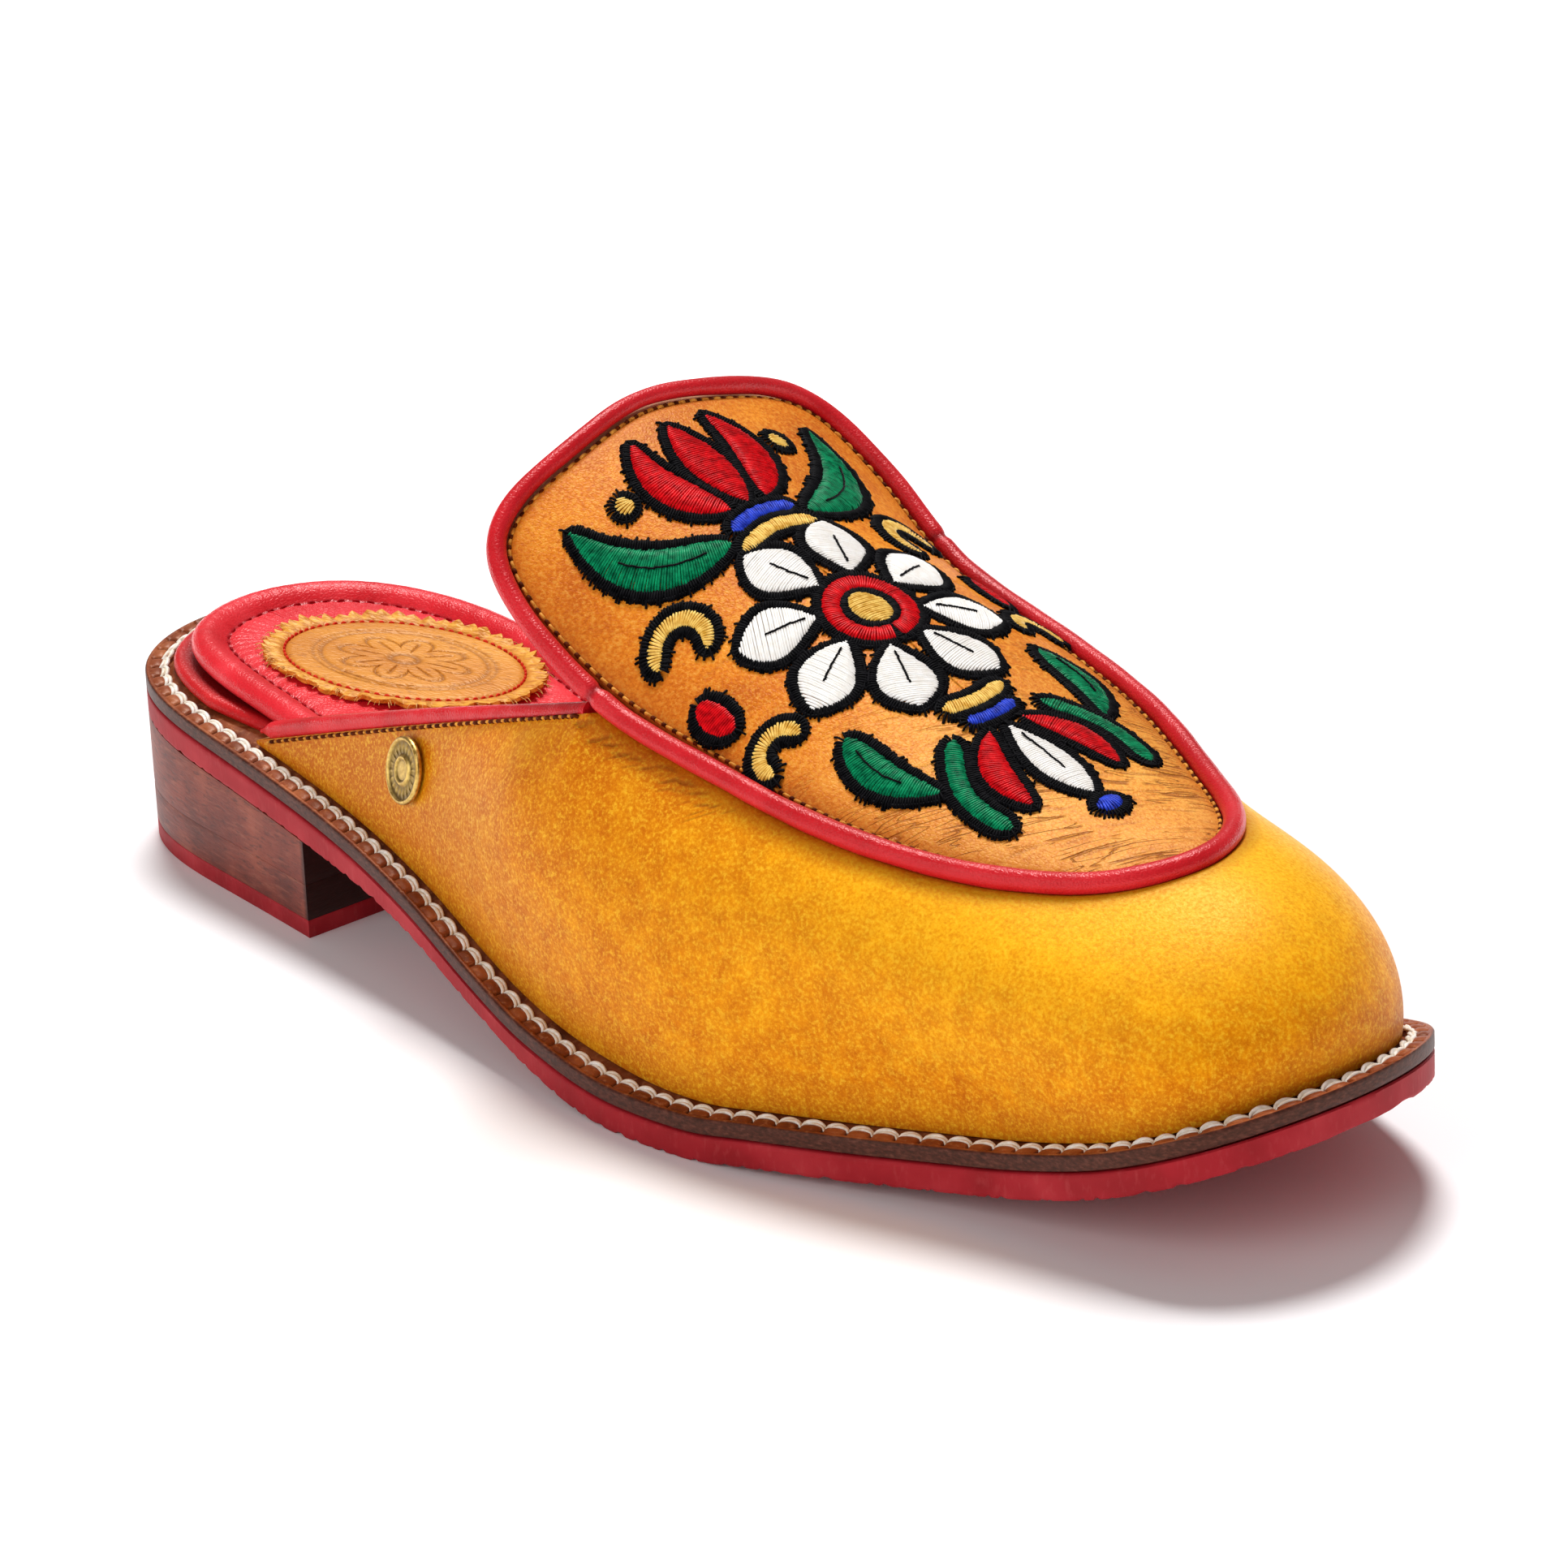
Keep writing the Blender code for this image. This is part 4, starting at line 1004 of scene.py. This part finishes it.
def red_calf(name, dark, middle_tone, light, roughness=0.36):
    """Takes up a red dyed calf, with fine pores and a soft wax shine, and gives its tone."""
    material(name, Roughness=roughness, Specular_IOR_Level=0.5, Coat_Weight=0.06,
             Coat_Roughness=0.3, Specular_Tint=(1, 0.42, 0.42, 1))
    pores, speckle, cloud = grain(RED_GRAIN)
    bump(pores, 0.00006, 0.6)
    tone = colours(cloud, (0.25, *dark), (0.5, *middle_tone), (0.78, *light))
    return mixed(between(speckle, 0.58, 0.75, 0, 0.35), tone, light)


tone = red_calf("piping_calf", (179, 13, 23), (199, 21, 32), (217, 38, 48))
tone = mixed(between(mark("joint"), 0.3, 1.0, 0, 0.7), tone, (121, 15, 21))
paint(piping, tone)
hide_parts("plug_piping")


# Topline bindings
# A folded strip of darker red calf over each quarter's top edge, from the throat down to the
# welt, where its end is skived thin and tucked in.
BINDING_WIDTH = 0.0034
BINDING_HEIGHT = 0.0027
tone = red_calf("binding_calf", (186, 13, 24), (213, 22, 34), (233, 40, 51), 0.4)
for side, label, solid in ((1, "inner", "topline_binding_inner"),
                           (-1, "outer", "topline_binding_outer")):
    a = np.linspace(1.012, 1.995, 260) * side
    top, _ = wall_top(a)
    out = wall_normal(a, np.ones(len(a)))
    along = unit(np.gradient(top, axis=0))
    up = unit(np.cross(along, out)) * side
    up *= np.sign(up[:, 2:3])
    thin = np.clip((2.0 - np.abs(a)) / 0.05, 0.25, 1)[:, None]
    centre = top - out * WALL / 2 + up * (BINDING_HEIGHT / 2 - 0.0001)
    ripple = 1 + 0.03 * np.sin(a * 31 + 1) * np.sin(a * 77)
    net = []
    for turn in 2 * np.pi * np.arange(18) / 18:
        c, s = np.cos(turn), np.sin(turn)
        flat_c, flat_s = np.sign(c) * abs(c) ** 0.7, np.sign(s) * abs(s) ** 0.8
        net.append(centre + (out * flat_c * BINDING_WIDTH / 2 * ripple[:, None]
                             + up * flat_s * (BINDING_HEIGHT / 2 + 0.0001)) * thin)
    net = np.array(net).transpose(1, 0, 2)
    binding = skin(f"topline_binding_{label}_fold", net, around=True, close=(0, -1))
    paint(binding, tone)
    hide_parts(solid)


# Insole base
# The board that the upper is lasted round, wrapped in red leather.  It fills the welt and shows
# as a step behind the quarters.
BASE_THICK = 0.0020
BASE_MARGIN = 0.0050
WELT_WIDTH = 0.0100
BASE_TOP = UPPER_BOTTOM + BASE_THICK


def base_rim(count):
    wide = outline(BASE_MARGIN, count)
    narrow = outline(WELT_MARGIN + WALL + 0.0006, count)
    share = np.clip((QUARTER_END - 0.004 - wide[:, :1]) / 0.012, 0, 1)
    return narrow + (wide - narrow) * share


def offset(ring, margin):
    return ring + inward(ring) * margin


rim = base_rim(220)
filler = outline(WELT_WIDTH + 2 * CLEARANCE, 220)
base_net = [lift(filler, OUTSOLE_THICK + CLEARANCE), lift(filler, WELT_TOP + CLEARANCE),
            lift(offset(rim, CLEARANCE), UPPER_BOTTOM)]
base_shade = [0, 0, 0, 0, 0, 0, 0, 0.1, 0.5, 1, 1]
for margin, height in ((0.0, 0.25), (0.0, 0.5), (0.0002, 0.72), (0.0005, 0.9),
                       (0.0010, 1.0), (0.0018, 1.0), (0.0028, 0.92), (0.0040, 0.9)):
    base_net.append(lift(offset(rim, margin), UPPER_BOTTOM + height * BASE_THICK))
base = skin("insole_wrap", base_net, around=True, close=(0, -1),
            marks={"shade": np.array(base_shade, float)[:, None]})
tone = red_calf("insole_calf", (178, 12, 18), (200, 22, 28), (216, 44, 46))
tone = mixed(mark("shade"), tone, (132, 6, 10))
paint(base, tone)
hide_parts("insole")


# Heel sock
# A padded cover of red calf over foam.  A thick roll runs round its edge, drawn in by a row of
# stitches, and the leather puckers where the thread pulls it.
SOCK_LENGTH = 0.160
SOCK_MARGIN = 0.0080
SOCK_SETBACK = 0.0004
SOCK_THICK = 0.0027
ROLL_HEIGHT = 0.0041
ROLL_WIDTH = 0.0063
SOCK_BOTTOM = BASE_TOP + CLEARANCE
SOCK_TOP = SOCK_BOTTOM + SOCK_THICK


def sock_ring(count):
    """Plan ring of the sock's edge, set back from the heel and rounded off in front."""
    plan = outline(SOCK_MARGIN, count)
    low, high = plan[:, 0].min(), plan[:, 0].max()
    reach = (plan[:, 0] - low) / (high - low)
    x = low + SOCK_SETBACK + (SOCK_LENGTH - low - SOCK_SETBACK) * reach
    inner, outer = halves(SOCK_MARGIN)
    width_at = low + (x - low - SOCK_SETBACK) * (high - low) / (high - low - SOCK_SETBACK)
    near, far = side_at(inner, width_at), side_at(outer, width_at)
    y = np.where(np.arange(len(plan)) <= len(plan) // 2, near, far)
    centre = (near + far) / 2
    closing = np.sqrt(np.clip(1 - ((reach - 0.75) / 0.25).clip(0, 1) ** 2, 0, 1))
    return np.column_stack([x, centre + (y - centre) * closing])


ring = sock_ring(360)
way = inward(ring)
run = np.arange(len(ring))
pull = (np.sin(run * 0.42 + 2 * np.sin(run * 0.11)) * 0.5
        + np.sin(run * 0.97 + 1.5 * np.sin(run * 0.07)) * 0.5)
# Distance in as a share of the roll's width, height, share of the puckers
SOCK_PROFILE = (
    (0.30, -0.04, 0.0), (0.14, 0.06, 0.0), (0.04, 0.20, 0.0), (0.00, 0.38, 0.0),
    (0.01, 0.58, 0.0), (0.07, 0.78, 0.1), (0.18, 0.93, 0.2), (0.32, 1.02, 0.3),
    (0.46, 1.04, 0.4), (0.60, 0.99, 0.6), (0.74, 0.88, 0.8), (0.86, 0.73, 1.0),
    (0.94, 0.60, 1.0), (1.00, 0.53, 0.6), (1.06, 0.55, 0.9), (1.16, 0.61, 1.0),
    (1.32, 0.645, 0.9), (1.55, 0.655, 0.6), (1.80, 0.655, 0.3), (2.05, 0.655, 0.0),
)
sock_net = []
for inset, height, share in SOCK_PROFILE:
    plan = ring + way * inset * ROLL_WIDTH
    level = SOCK_BOTTOM + height * ROLL_HEIGHT + share * 0.00010 * pull
    sock_net.append(np.column_stack([plan, under(plan[:, 0]) + level]))
inset, height, _ = np.array(SOCK_PROFILE).T[..., None]
sock = skin("heel_sock_pad", sock_net, around=True, close=(0, -1),
            marks={"seam": hill(inset, 1, 0.06),
                   "shade": np.clip(1 - height / 0.4, 0, 1)})
tone = red_calf("sock_calf", (205, 20, 32), (227, 36, 48), (244, 66, 76), 0.36)
tone = mixed(mark("shade"), tone, (90, 4, 8))
# Painted shade in the groove along the stitch line.
tone = mixed(between(mark("seam"), 0.2, 1.0, 0, 0.75), tone, (128, 10, 20))
paint(sock, tone)
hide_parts("heel_sock")

dark_red_thread = thread_finish("dark_red_thread", (140, 10, 20), (184, 26, 38), 0.5, 0.2)
seam_plan = spline(ring + way * 1.0 * ROLL_WIDTH, closed=True)
SOCK_STITCHES = 128
sock_holes = seam_plan(np.linspace(0, 1, SOCK_STITCHES * 2, endpoint=False))
sock_holes = lift(sock_holes, SOCK_BOTTOM + 0.53 * ROLL_HEIGHT)
sock_stitches = running(sock_holes, 0.00022, 0.0003)
sock_seam_thread = sew("sock_stitches", sock_stitches, 0.0005, dark_red_thread)


# Heel patch
# An oval of tan leather with a pinked edge, sewn down on the sock with a ring of red thread.
# Its middle is stamped with a plain rosette, and the teeth outside the thread curl up.
PATCH_LENGTH = 0.050
PATCH_WIDTH = 0.0325
PATCH_THICK = 0.0012
PATCH_AT = (0.0478, 0.0040)
PATCH_TURN = np.radians(26.0)
TEETH = 56
PATCH_SEAM = 0.86
PATCH_SEAM_DEPTH = 0.00045
STAMP_DEPTH = 0.00034
PATCH_CROWN = 0.00025


def on_patch(share, angle):
    """Plan points on the patch: share 1 is its edge."""
    oval = np.stack([share * np.cos(angle) * PATCH_LENGTH / 2,
                     share * np.sin(angle) * PATCH_WIDTH / 2], axis=-1)
    c, s = np.cos(PATCH_TURN), np.sin(PATCH_TURN)
    return oval @ np.array([[c, s], [-s, c]]) + PATCH_AT


def stamped(share, angle):
    """How deep the rosette is stamped: two rings, eight petals and a dot in the middle."""
    petal = 0.26 + 0.22 * np.abs(np.cos(4 * angle)) ** 0.7
    lines = (hill(share, petal, 0.018) + hill(share, 0.60, 0.014)
             + 0.8 * hill(share, 0.66, 0.010) + hill(share, 0.10, 0.03))
    vein = hill(np.sin(4 * angle), 0, 0.16) * ((share > 0.16) & (share < 0.40))
    return np.clip(lines + 0.7 * vein, 0, 1)


angle = -2 * np.pi * np.arange(960) / 960 + np.pi
tooth = np.abs(((angle * TEETH / (2 * np.pi)) % 1) - 0.5) * 2
patch_rings = np.r_[np.linspace(1.0, 0.80, 8), np.linspace(0.78, 0.05, 36)]
patch_net = []
patch_stamp = [np.zeros(len(angle))] * 2
for share in patch_rings:
    rim_share = np.clip((share - PATCH_SEAM) / (1 - PATCH_SEAM), 0, 1)
    reach = share + rim_share * (0.050 * (tooth ** 0.6 - 0.6) + 0.008 * np.sin(angle * 7 + 1)
                                 + 0.006 * np.sin(angle * 29))
    plan = on_patch(reach, angle)
    stamp_depth_and_shade = stamped(share, angle) if share < 0.75 else np.zeros(len(angle))
    seam = hill(share, PATCH_SEAM, 0.02)
    curl = rim_share ** 1.3 * (0.0001 + 0.0003 * np.sin(angle * 9 + 2) + 0.0005 * tooth
                               + 0.0002 * np.sin(angle * 31) + 0.0003 * np.sin(angle + 0.4))
    level = SOCK_TOP + PATCH_THICK - STAMP_DEPTH * stamp_depth_and_shade - PATCH_SEAM_DEPTH * seam + curl
    level += PATCH_CROWN * (1 - share ** 2)
    patch_net.append(np.column_stack([plan, under(plan[:, 0]) + level]))
    patch_stamp.append(stamp_depth_and_shade)
edge_ring = patch_net[0].copy()
edge_ring[:, 2] -= PATCH_THICK * 0.6
under_ring = np.column_stack([on_patch(np.full(len(angle), 0.9), angle), np.zeros(len(angle))])
under_ring[:, 2] = under(under_ring[:, 0]) + SOCK_TOP - CLEARANCE * 0.3
patch_net = [under_ring, edge_ring] + patch_net
rim_share = np.clip((patch_rings - PATCH_SEAM) / (1 - PATCH_SEAM), 0, 1)
patch = skin("heel_patch_leather", patch_net, around=True, close=(0, -1), marks={
    "rim": np.r_[1, 1, rim_share][:, None], "stamp_depth_and_shade": patch_stamp,
    "hollow": np.r_[0, 0, hill(patch_rings, PATCH_SEAM, 0.02)][:, None]})
material("patch_leather", Roughness=0.45, Specular_Tint=(1, 0.7, 0.4, 1))
pores, speckle, cloud = grain(1300, (0.35, 1, 1), PATCH_TURN)
tone = colours(cloud, (0.28, 195, 114, 28), (0.5, 216, 138, 42), (0.75, 235, 162, 62))
tone = mixed(between(speckle, 0.44, 0.32, 0, 0.6), tone, (158, 86, 30))
# The stamped lines are darker, partly as the die's mark on the leather and partly as painted shade.
tone = mixed(mark("stamp_depth_and_shade", 0.8), tone, (141, 78, 24))
# Painted shade in the groove that the stitches sink.
tone = mixed(mark("hollow", 0.5), tone, (158, 80, 26))
rim_tone = colours(speckle, (0.38, 202, 123, 30), (0.6, 244, 179, 70))
tone = mixed(between(mark("rim"), 0.15, 0.5), tone, rim_tone)
paint(patch, tone)
bump(maths("ADD", pores, speckle), 0.00009, 0.6)
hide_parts("heel_patch")

bright_red_thread = thread_finish("bright_red_thread", (206, 30, 20), (240, 70, 44))
PATCH_STITCHES = 74
turn = 2 * np.pi * np.arange(PATCH_STITCHES * 2) / (PATCH_STITCHES * 2)
patch_holes = on_patch(np.full(len(turn), PATCH_SEAM), turn)
patch_holes = lift(patch_holes, SOCK_TOP + PATCH_THICK - 0.0003)
patch_stitches = running(patch_holes, 0.0003, 0.0002)
patch_seam_thread = sew("patch_stitches", patch_stitches, 0.00045, bright_red_thread)

# Loose fibres along the pinked edge
fibre_gold = thread_finish("loose_fibre", (196, 134, 60), (246, 206, 130))
frayed = []
for turn in rng.uniform(0, 2 * np.pi, 110):
    share = np.array((0.97, 1.0, 1.03, 1.05)) + rng.uniform(-0.02, 0.02)
    drift = turn + np.linspace(0, 1, 4) * rng.uniform(-0.05, 0.05)
    plan = on_patch(share, drift)
    rise = np.array((0.0009, 0.0012, 0.0011, 0.0007)) + rng.uniform(-0.0002, 0.0004)
    strand = lift(plan, SOCK_TOP)
    strand[:, 2] += rise
    frayed.append((strand, rng.uniform(0.6, 1.2)))
fray = sew("patch_fray", frayed, 0.00014, fibre_gold)


# Plug and binding stitches
# Fine gold-brown thread, one row on the plug just inside the piping and one on each quarter
# just under its binding.  Short dark brown threads lie in the holes between: partly the
# thread's darker colour, partly painted shade in the holes.
PLUG_STITCHES = 150
gold_thread = thread_finish("gold_brown_thread", (176, 104, 30), (232, 166, 70))
brown_and_hole_shade_thread = thread_finish("dark_brown_and_hole_shade_thread", (60, 20, 6), (104, 42, 14), 0.6, 0.15)
share = np.linspace(0, 2, PLUG_STITCHES * 3, endpoint=False)
seam_plan = plug_edge(-share, -GROOVE_HALF + 0.0001)
seam_points, seam_up = plug_surface(seam_plan)
seam_points = seam_points - seam_up * 0.00055
gold, brown_and_hole_shade = [], []
for k in range(PLUG_STITCHES):
    i = 3 * k
    j = (i + 2) % len(share)
    gold.append((arch(seam_points[i], seam_points[j], seam_up[i], 0.00030, 0.0003), 1.0))
    after = (i + 3) % len(share)
    brown_and_hole_shade.append((arch(seam_points[j], seam_points[after], seam_up[j], 0.00020, 0.0002), 1.1))
BINDING_STITCHES = 40
for side in (-1, 1):
    a = np.linspace(1.02, 1.96, BINDING_STITCHES * 3 + 1) * side
    top_points, down = wall_top(a)
    out = wall_normal(a, np.full(len(a), 0.97))
    line_points = top_points + down * 0.00050 + out * 0.00008
    for k in range(BINDING_STITCHES):
        i = 3 * k
        brown_and_hole_shade.append((arch(line_points[i], line_points[i + 2], out[i], 0.00026, 0.0003), 1.0))
        gold.append((arch(line_points[i + 2], line_points[i + 3], out[i], 0.0002, 0.0002), 0.9))
gold_seam = sew("gold_stitches", gold, 0.0006, gold_thread)
brown_and_hole_shade_seam = sew("brown_and_hole_shade_stitches", brown_and_hole_shade, 0.00065, brown_and_hole_shade_thread)


# Needlework
# Satin stitch over padding, in a plain bouquet of petals, leaves and curls.  Each shape is a
# band of threads laid side by side across its middle line, edged all round with black thread.
THREAD = 0.00044
THREAD_STEP = 0.00040
OUTLINE_STEP = 0.00040
OUTLINE_REACH = 0.00142
WORK_TOP = 0.1165


def on_plug(plan, height):
    """Points on the plug: mm from the tongue's top to the toe, mm to the inside, metres up."""
    forward, aside = plan.T / 1000
    x = WORK_TOP + forward
    point, up = plug_surface(np.stack([x, middle(x) + aside], axis=-1))
    return point + up * np.broadcast_to(height, len(plan))[:, None]


def leaf(full):
    """Width of a leaf or petal along its length, widest where full says."""
    return lambda t: np.sin(np.pi * t ** (np.log(0.5) / np.log(full))) ** 0.75


def band(t):
    """Width of a band with round ends."""
    return np.clip(np.minimum(t, 1 - t) * 9, 0, 1) ** 0.5


def disc(t):
    return np.sqrt(np.clip(1 - (2 * t - 1) ** 2, 0, 1))


def arc_points(centre, radius, start, end, squash=1.0):
    """Middle line of a curl: degrees from start to end about a centre, in mm."""
    turn = np.radians(np.linspace(start, end, 14))
    return [(centre[0] + radius * np.cos(w), centre[1] + squash * radius * np.sin(w)) for w in turn]


# Colour, middle line in mm (u, v), half width in mm, width along it
MOTIFS = []
for k in range(8):
    w = np.radians(k * 45 + 22.5)
    c, s = np.cos(w), np.sin(w)
    line = [(50 + 8.6 * c, 8.6 * s), (50 + 14.5 * c, 14.5 * s), (50 + 21.5 * c, 21.5 * s)]
    MOTIFS.append(("white", line, 5.0, leaf(0.58)))
MOTIFS += [
    ("red", arc_points((50, 0), 6.1, 0, 352), 1.6, np.ones_like),
    ("gold", [(46.4, 0), (50, 0), (53.6, 0)], 3.4, disc),
    ("blue", [(76.6, -4.8), (77.4, 0), (76.6, 4.8)], 1.15, band),
    ("blue", [(25.4, -6.4), (24.4, 0), (25.4, 6.4)], 1.3, band),
]
for side in (-1, 1):
    MOTIFS += [
        ("red", [(22, 3.6 * side), (16, 7.6 * side), (10.5, 9 * side), (3, 7.5 * side)], 3.2,
         leaf(0.45)),
        ("gold", [(9.5, 15.6 * side), (11, 16.0 * side), (12.5, 15.6 * side)], 1.6, disc),
        ("green", [(27, 8 * side), (24, 17 * side), (17, 23 * side), (8, 25 * side)], 3.4,
         leaf(0.42)),
        ("gold", arc_points((33.5, 24.5 * side), 4.2, 100 * side, 330 * side, side * side), 1.25,
         band),
        ("green", [(66, 20 * side), (75, 21 * side), (84, 17 * side)], 2.9,
         leaf(0.4)),
        ("gold", arc_points((59, 27.0 * side), 3.4, 60 * side, 280 * side), 1.2, band),
        ("red", [(42, 28.5 * side), (46, 28.8 * side), (50, 28.5 * side)], 2.1, disc),
        ("red", [(80, 3.4 * side), (87, 8.5 * side), (95.5, 9.0 * side)], 2.6,
         leaf(0.5)),
        ("green", [(78, 9.0 * side), (87, 15.0 * side), (96.5, 14.5 * side)], 1.6, band),
    ]
MOTIFS += [
    ("red", [(22, 0), (13, 0), (3, 0)], 3.8, leaf(0.5)),
    ("gold", [(29.4, -7.6), (28.0, 0), (29.4, 7.6)], 1.4, band),
    ("white", [(80.5, 0), (88, 0), (99, 0)], 3.4, leaf(0.55)),
    ("gold", [(72.6, -6.2), (73.8, 0), (72.6, 6.2)], 1.3, band),
    ("blue", [(102.0, -2.2), (102.5, 0), (102.0, 2.2)], 1.9, disc),
]



def headings(path, t):
    """Ways along a middle line and across it."""
    along = unit(path(np.clip(t + 0.01, 0, 1)) - path(np.clip(t - 0.01, 0, 1)))
    return along, np.stack([-along[:, 1], along[:, 0]], axis=1)


threads = {"white": [], "red": [], "green": [], "blue": [], "gold": [], "black": []}
for tint, line, half_width, shape in MOTIFS:
    path = spline(line)
    dense = path(np.linspace(0, 1, 200))
    length = np.linalg.norm(np.diff(dense, axis=0), axis=1).sum()
    count = int(length / (THREAD_STEP * 1000))
    t = (np.arange(count) + 0.5) / count
    centre = path(t)
    along, across = headings(path, t)
    half = half_width * shape(t)
    step = np.linspace(-1, 1, 9)
    for i in range(count):
        reach = half[i] + rng.uniform(-0.10, 0.22)
        if reach < 0.3:
            continue
        slant = 0.16 * half[i] * along[i]
        plan = centre[i] + step[:, None] * (across[i] * reach + slant)
        plan += rng.normal(0, 0.02, 2)
        pad = 0.00038 + 0.00042 * min(half[i] / 3, 1)
        height = pad * np.sqrt(np.clip(1 - np.abs(step) ** 3, 0, 1)) + rng.uniform(0, 0.00005)
        threads[tint].append((on_plug(plan, height), rng.uniform(0.9, 1.1)))
    rim_t = np.linspace(0, 1, 160)
    centre = path(rim_t)
    sideways = headings(path, rim_t)[1] * (half_width * shape(rim_t))[:, None]
    border = np.vstack([centre + sideways, (centre - sideways)[::-1]])
    border = np.vstack([border, border[:1]])
    run = np.r_[0, np.cumsum(np.linalg.norm(np.diff(border, axis=0), axis=1))]
    count = int(run[-1] / (OUTLINE_STEP * 1000))
    at = np.linspace(0, run[-1], count, endpoint=False)
    edge, later, earlier = (
        np.stack([np.interp((at + ahead) % run[-1], run, c) for c in border.T], axis=1)
        for ahead in (0, 0.4, -0.4))
    tangent = unit(later - earlier + 1e-9)
    outward = np.stack([tangent[:, 1], -tangent[:, 0]], axis=1)
    turned = np.sign(((edge - centre[80]) * outward).sum())
    outward *= turned if turned else 1
    for i in range(count):
        reach = OUTLINE_REACH * 1000 * rng.choice((rng.uniform(0.88, 1.12), 1.35), p=(0.9, 0.1))
        step = np.linspace(-0.30, 1, 5)[:, None]
        lean = tangent[i] * rng.uniform(-0.05, 0.20)
        plan = edge[i] + step * (outward[i] * reach + lean)
        height = 0.00052 * np.sqrt(np.clip(1 - (step[:, 0] * 1.15 - 0.35) ** 2 / 0.6, 0, 1))
        threads["black"].append((on_plug(plan, height), rng.uniform(0.9, 1.15)))
    for aside in (0.15, 0.60, 1.0):
        for i in range(0, count - 8, 8):
            plan = edge[i:i + 10] + outward[i:i + 10] * aside
            threads["black"].append((on_plug(plan, 0.00028), 1.3))

# Black veins on the white petals and the green leaves
for tint, line, half_width, shape in MOTIFS:
    if tint not in ("white", "green") or half_width < 2.5:
        continue
    path = spline(line)
    t = np.linspace(0.16, 0.66, 16)
    centre = path(t)
    for start, end in zip(centre[:-1], centre[1:]):
        share = np.linspace(-0.1, 1.1, 5)[:, None]
        plan = start + (end - start) * share + rng.normal(0, 0.05, 2)
        height = 0.00098 + 0.00010 * np.sin(np.pi * np.clip(share[:, 0], 0, 1))
        threads["black"].append((on_plug(plan, height), 0.9))

THREAD_TONES = {
    "white": ((246, 243, 236), (255, 255, 252)),
    "red": ((168, 6, 16), (234, 20, 30)),
    "green": ((2, 86, 56), (14, 150, 98)),
    "blue": ((26, 42, 146), (50, 80, 220)),
    "gold": ((214, 160, 56), (255, 220, 122)),
    "black": ((6, 6, 8), (22, 22, 25)),
}
for tint, (dark, light) in THREAD_TONES.items():
    dull = tint == "black"
    silk = thread_finish(f"{tint}_silk", dark, light, 0.6 if dull else 0.36, 0.12 if dull else 0.5)
    needlework = sew(f"needlework_{tint}", threads[tint], THREAD, silk, 0 if dull else 1)


# Rivet
# A brass stud turned with a rolled rim, a sunk ring with small beads and a raised middle,
# riveted through the outer quarter.
RIVET_SIZE = 0.0112
RIVET_THICK = 0.0013
RIVET_AT = (0.0953, 0.0370)
t = np.linspace(0.3, 1.0, 141)
a = np.full(141, -1.0)
for _ in range(4):
    line = wall(a, t)
    row = int(np.argmin(np.abs(line[:, 2] - RIVET_AT[1])))
    test = np.linspace(-1, -2, 201)
    at = wall(test, np.full(201, t[row]))
    a[:] = np.interp(-RIVET_AT[0], -at[:, 0], test)
line = wall(a, t)
row = int(np.argmin(np.abs(line[:, 2] - RIVET_AT[1])))
rivet_centre = line[row]
rivet_out = wall_normal(a[row:row + 1], t[row:row + 1])[0]
rivet_across = unit(np.cross((0, 0, 1), rivet_out))
rivet_up = np.cross(rivet_out, rivet_across)
# Share of the radius and of the height, and how far the place is sunk
RIVET_PROFILE = (
    (0.90, 0.00, 1.0), (0.97, 0.10, 0.6), (1.00, 0.35, 0.0), (0.995, 0.60, 0.0),
    (0.965, 0.82, 0.0), (0.92, 0.90, 0.0), (0.875, 0.84, 0.0), (0.85, 0.68, 0.6),
    (0.82, 0.58, 1.0), (0.66, 0.55, 0.8), (0.50, 0.57, 1.0), (0.46, 0.66, 0.5),
    (0.43, 0.86, 0.0), (0.38, 0.94, 0.0), (0.33, 0.86, 0.2), (0.30, 0.74, 0.8),
    (0.26, 0.72, 0.5), (0.12, 0.76, 0.2), (0.02, 0.77, 0.2),
)
around_stud = 2 * np.pi * np.arange(144) / 144
ring_way = (np.cos(around_stud)[:, None] * rivet_across + np.sin(around_stud)[:, None] * rivet_up)
rivet_net, rivet_sunk = [], []
for share, height, sunk in RIVET_PROFILE:
    beads = 0.16 * np.clip(np.cos(around_stud * 20), 0, 1) * (0.6 < share < 0.75)
    rise = 2 * CLEARANCE - 0.0002 + (height + beads) * RIVET_THICK
    rivet_net.append(rivet_centre + ring_way * share * RIVET_SIZE / 2
                     + rivet_out * rise[:, None])
    rivet_sunk.append(np.clip(sunk - 3 * beads, 0, 1))
rivet = skin("rivet_stud", rivet_net, around=True, close=(0, -1),
             marks={"sunk": rivet_sunk})
material("old_brass", Metallic=1.0)
tarnish = noise(placed(), 1400, 3)
tone = colours(tarnish, (0.3, 176, 138, 64), (0.7, 232, 200, 118))
tone = mixed(mark("sunk", 0.7), tone, (74, 54, 30))
paint(rivet, tone)
tree.links.new(between(tarnish, 0.3, 0.7, 0.30, 0.46), shader.inputs["Roughness"])
bump(tarnish, 0.00005, 0.5)
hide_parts("rivet")
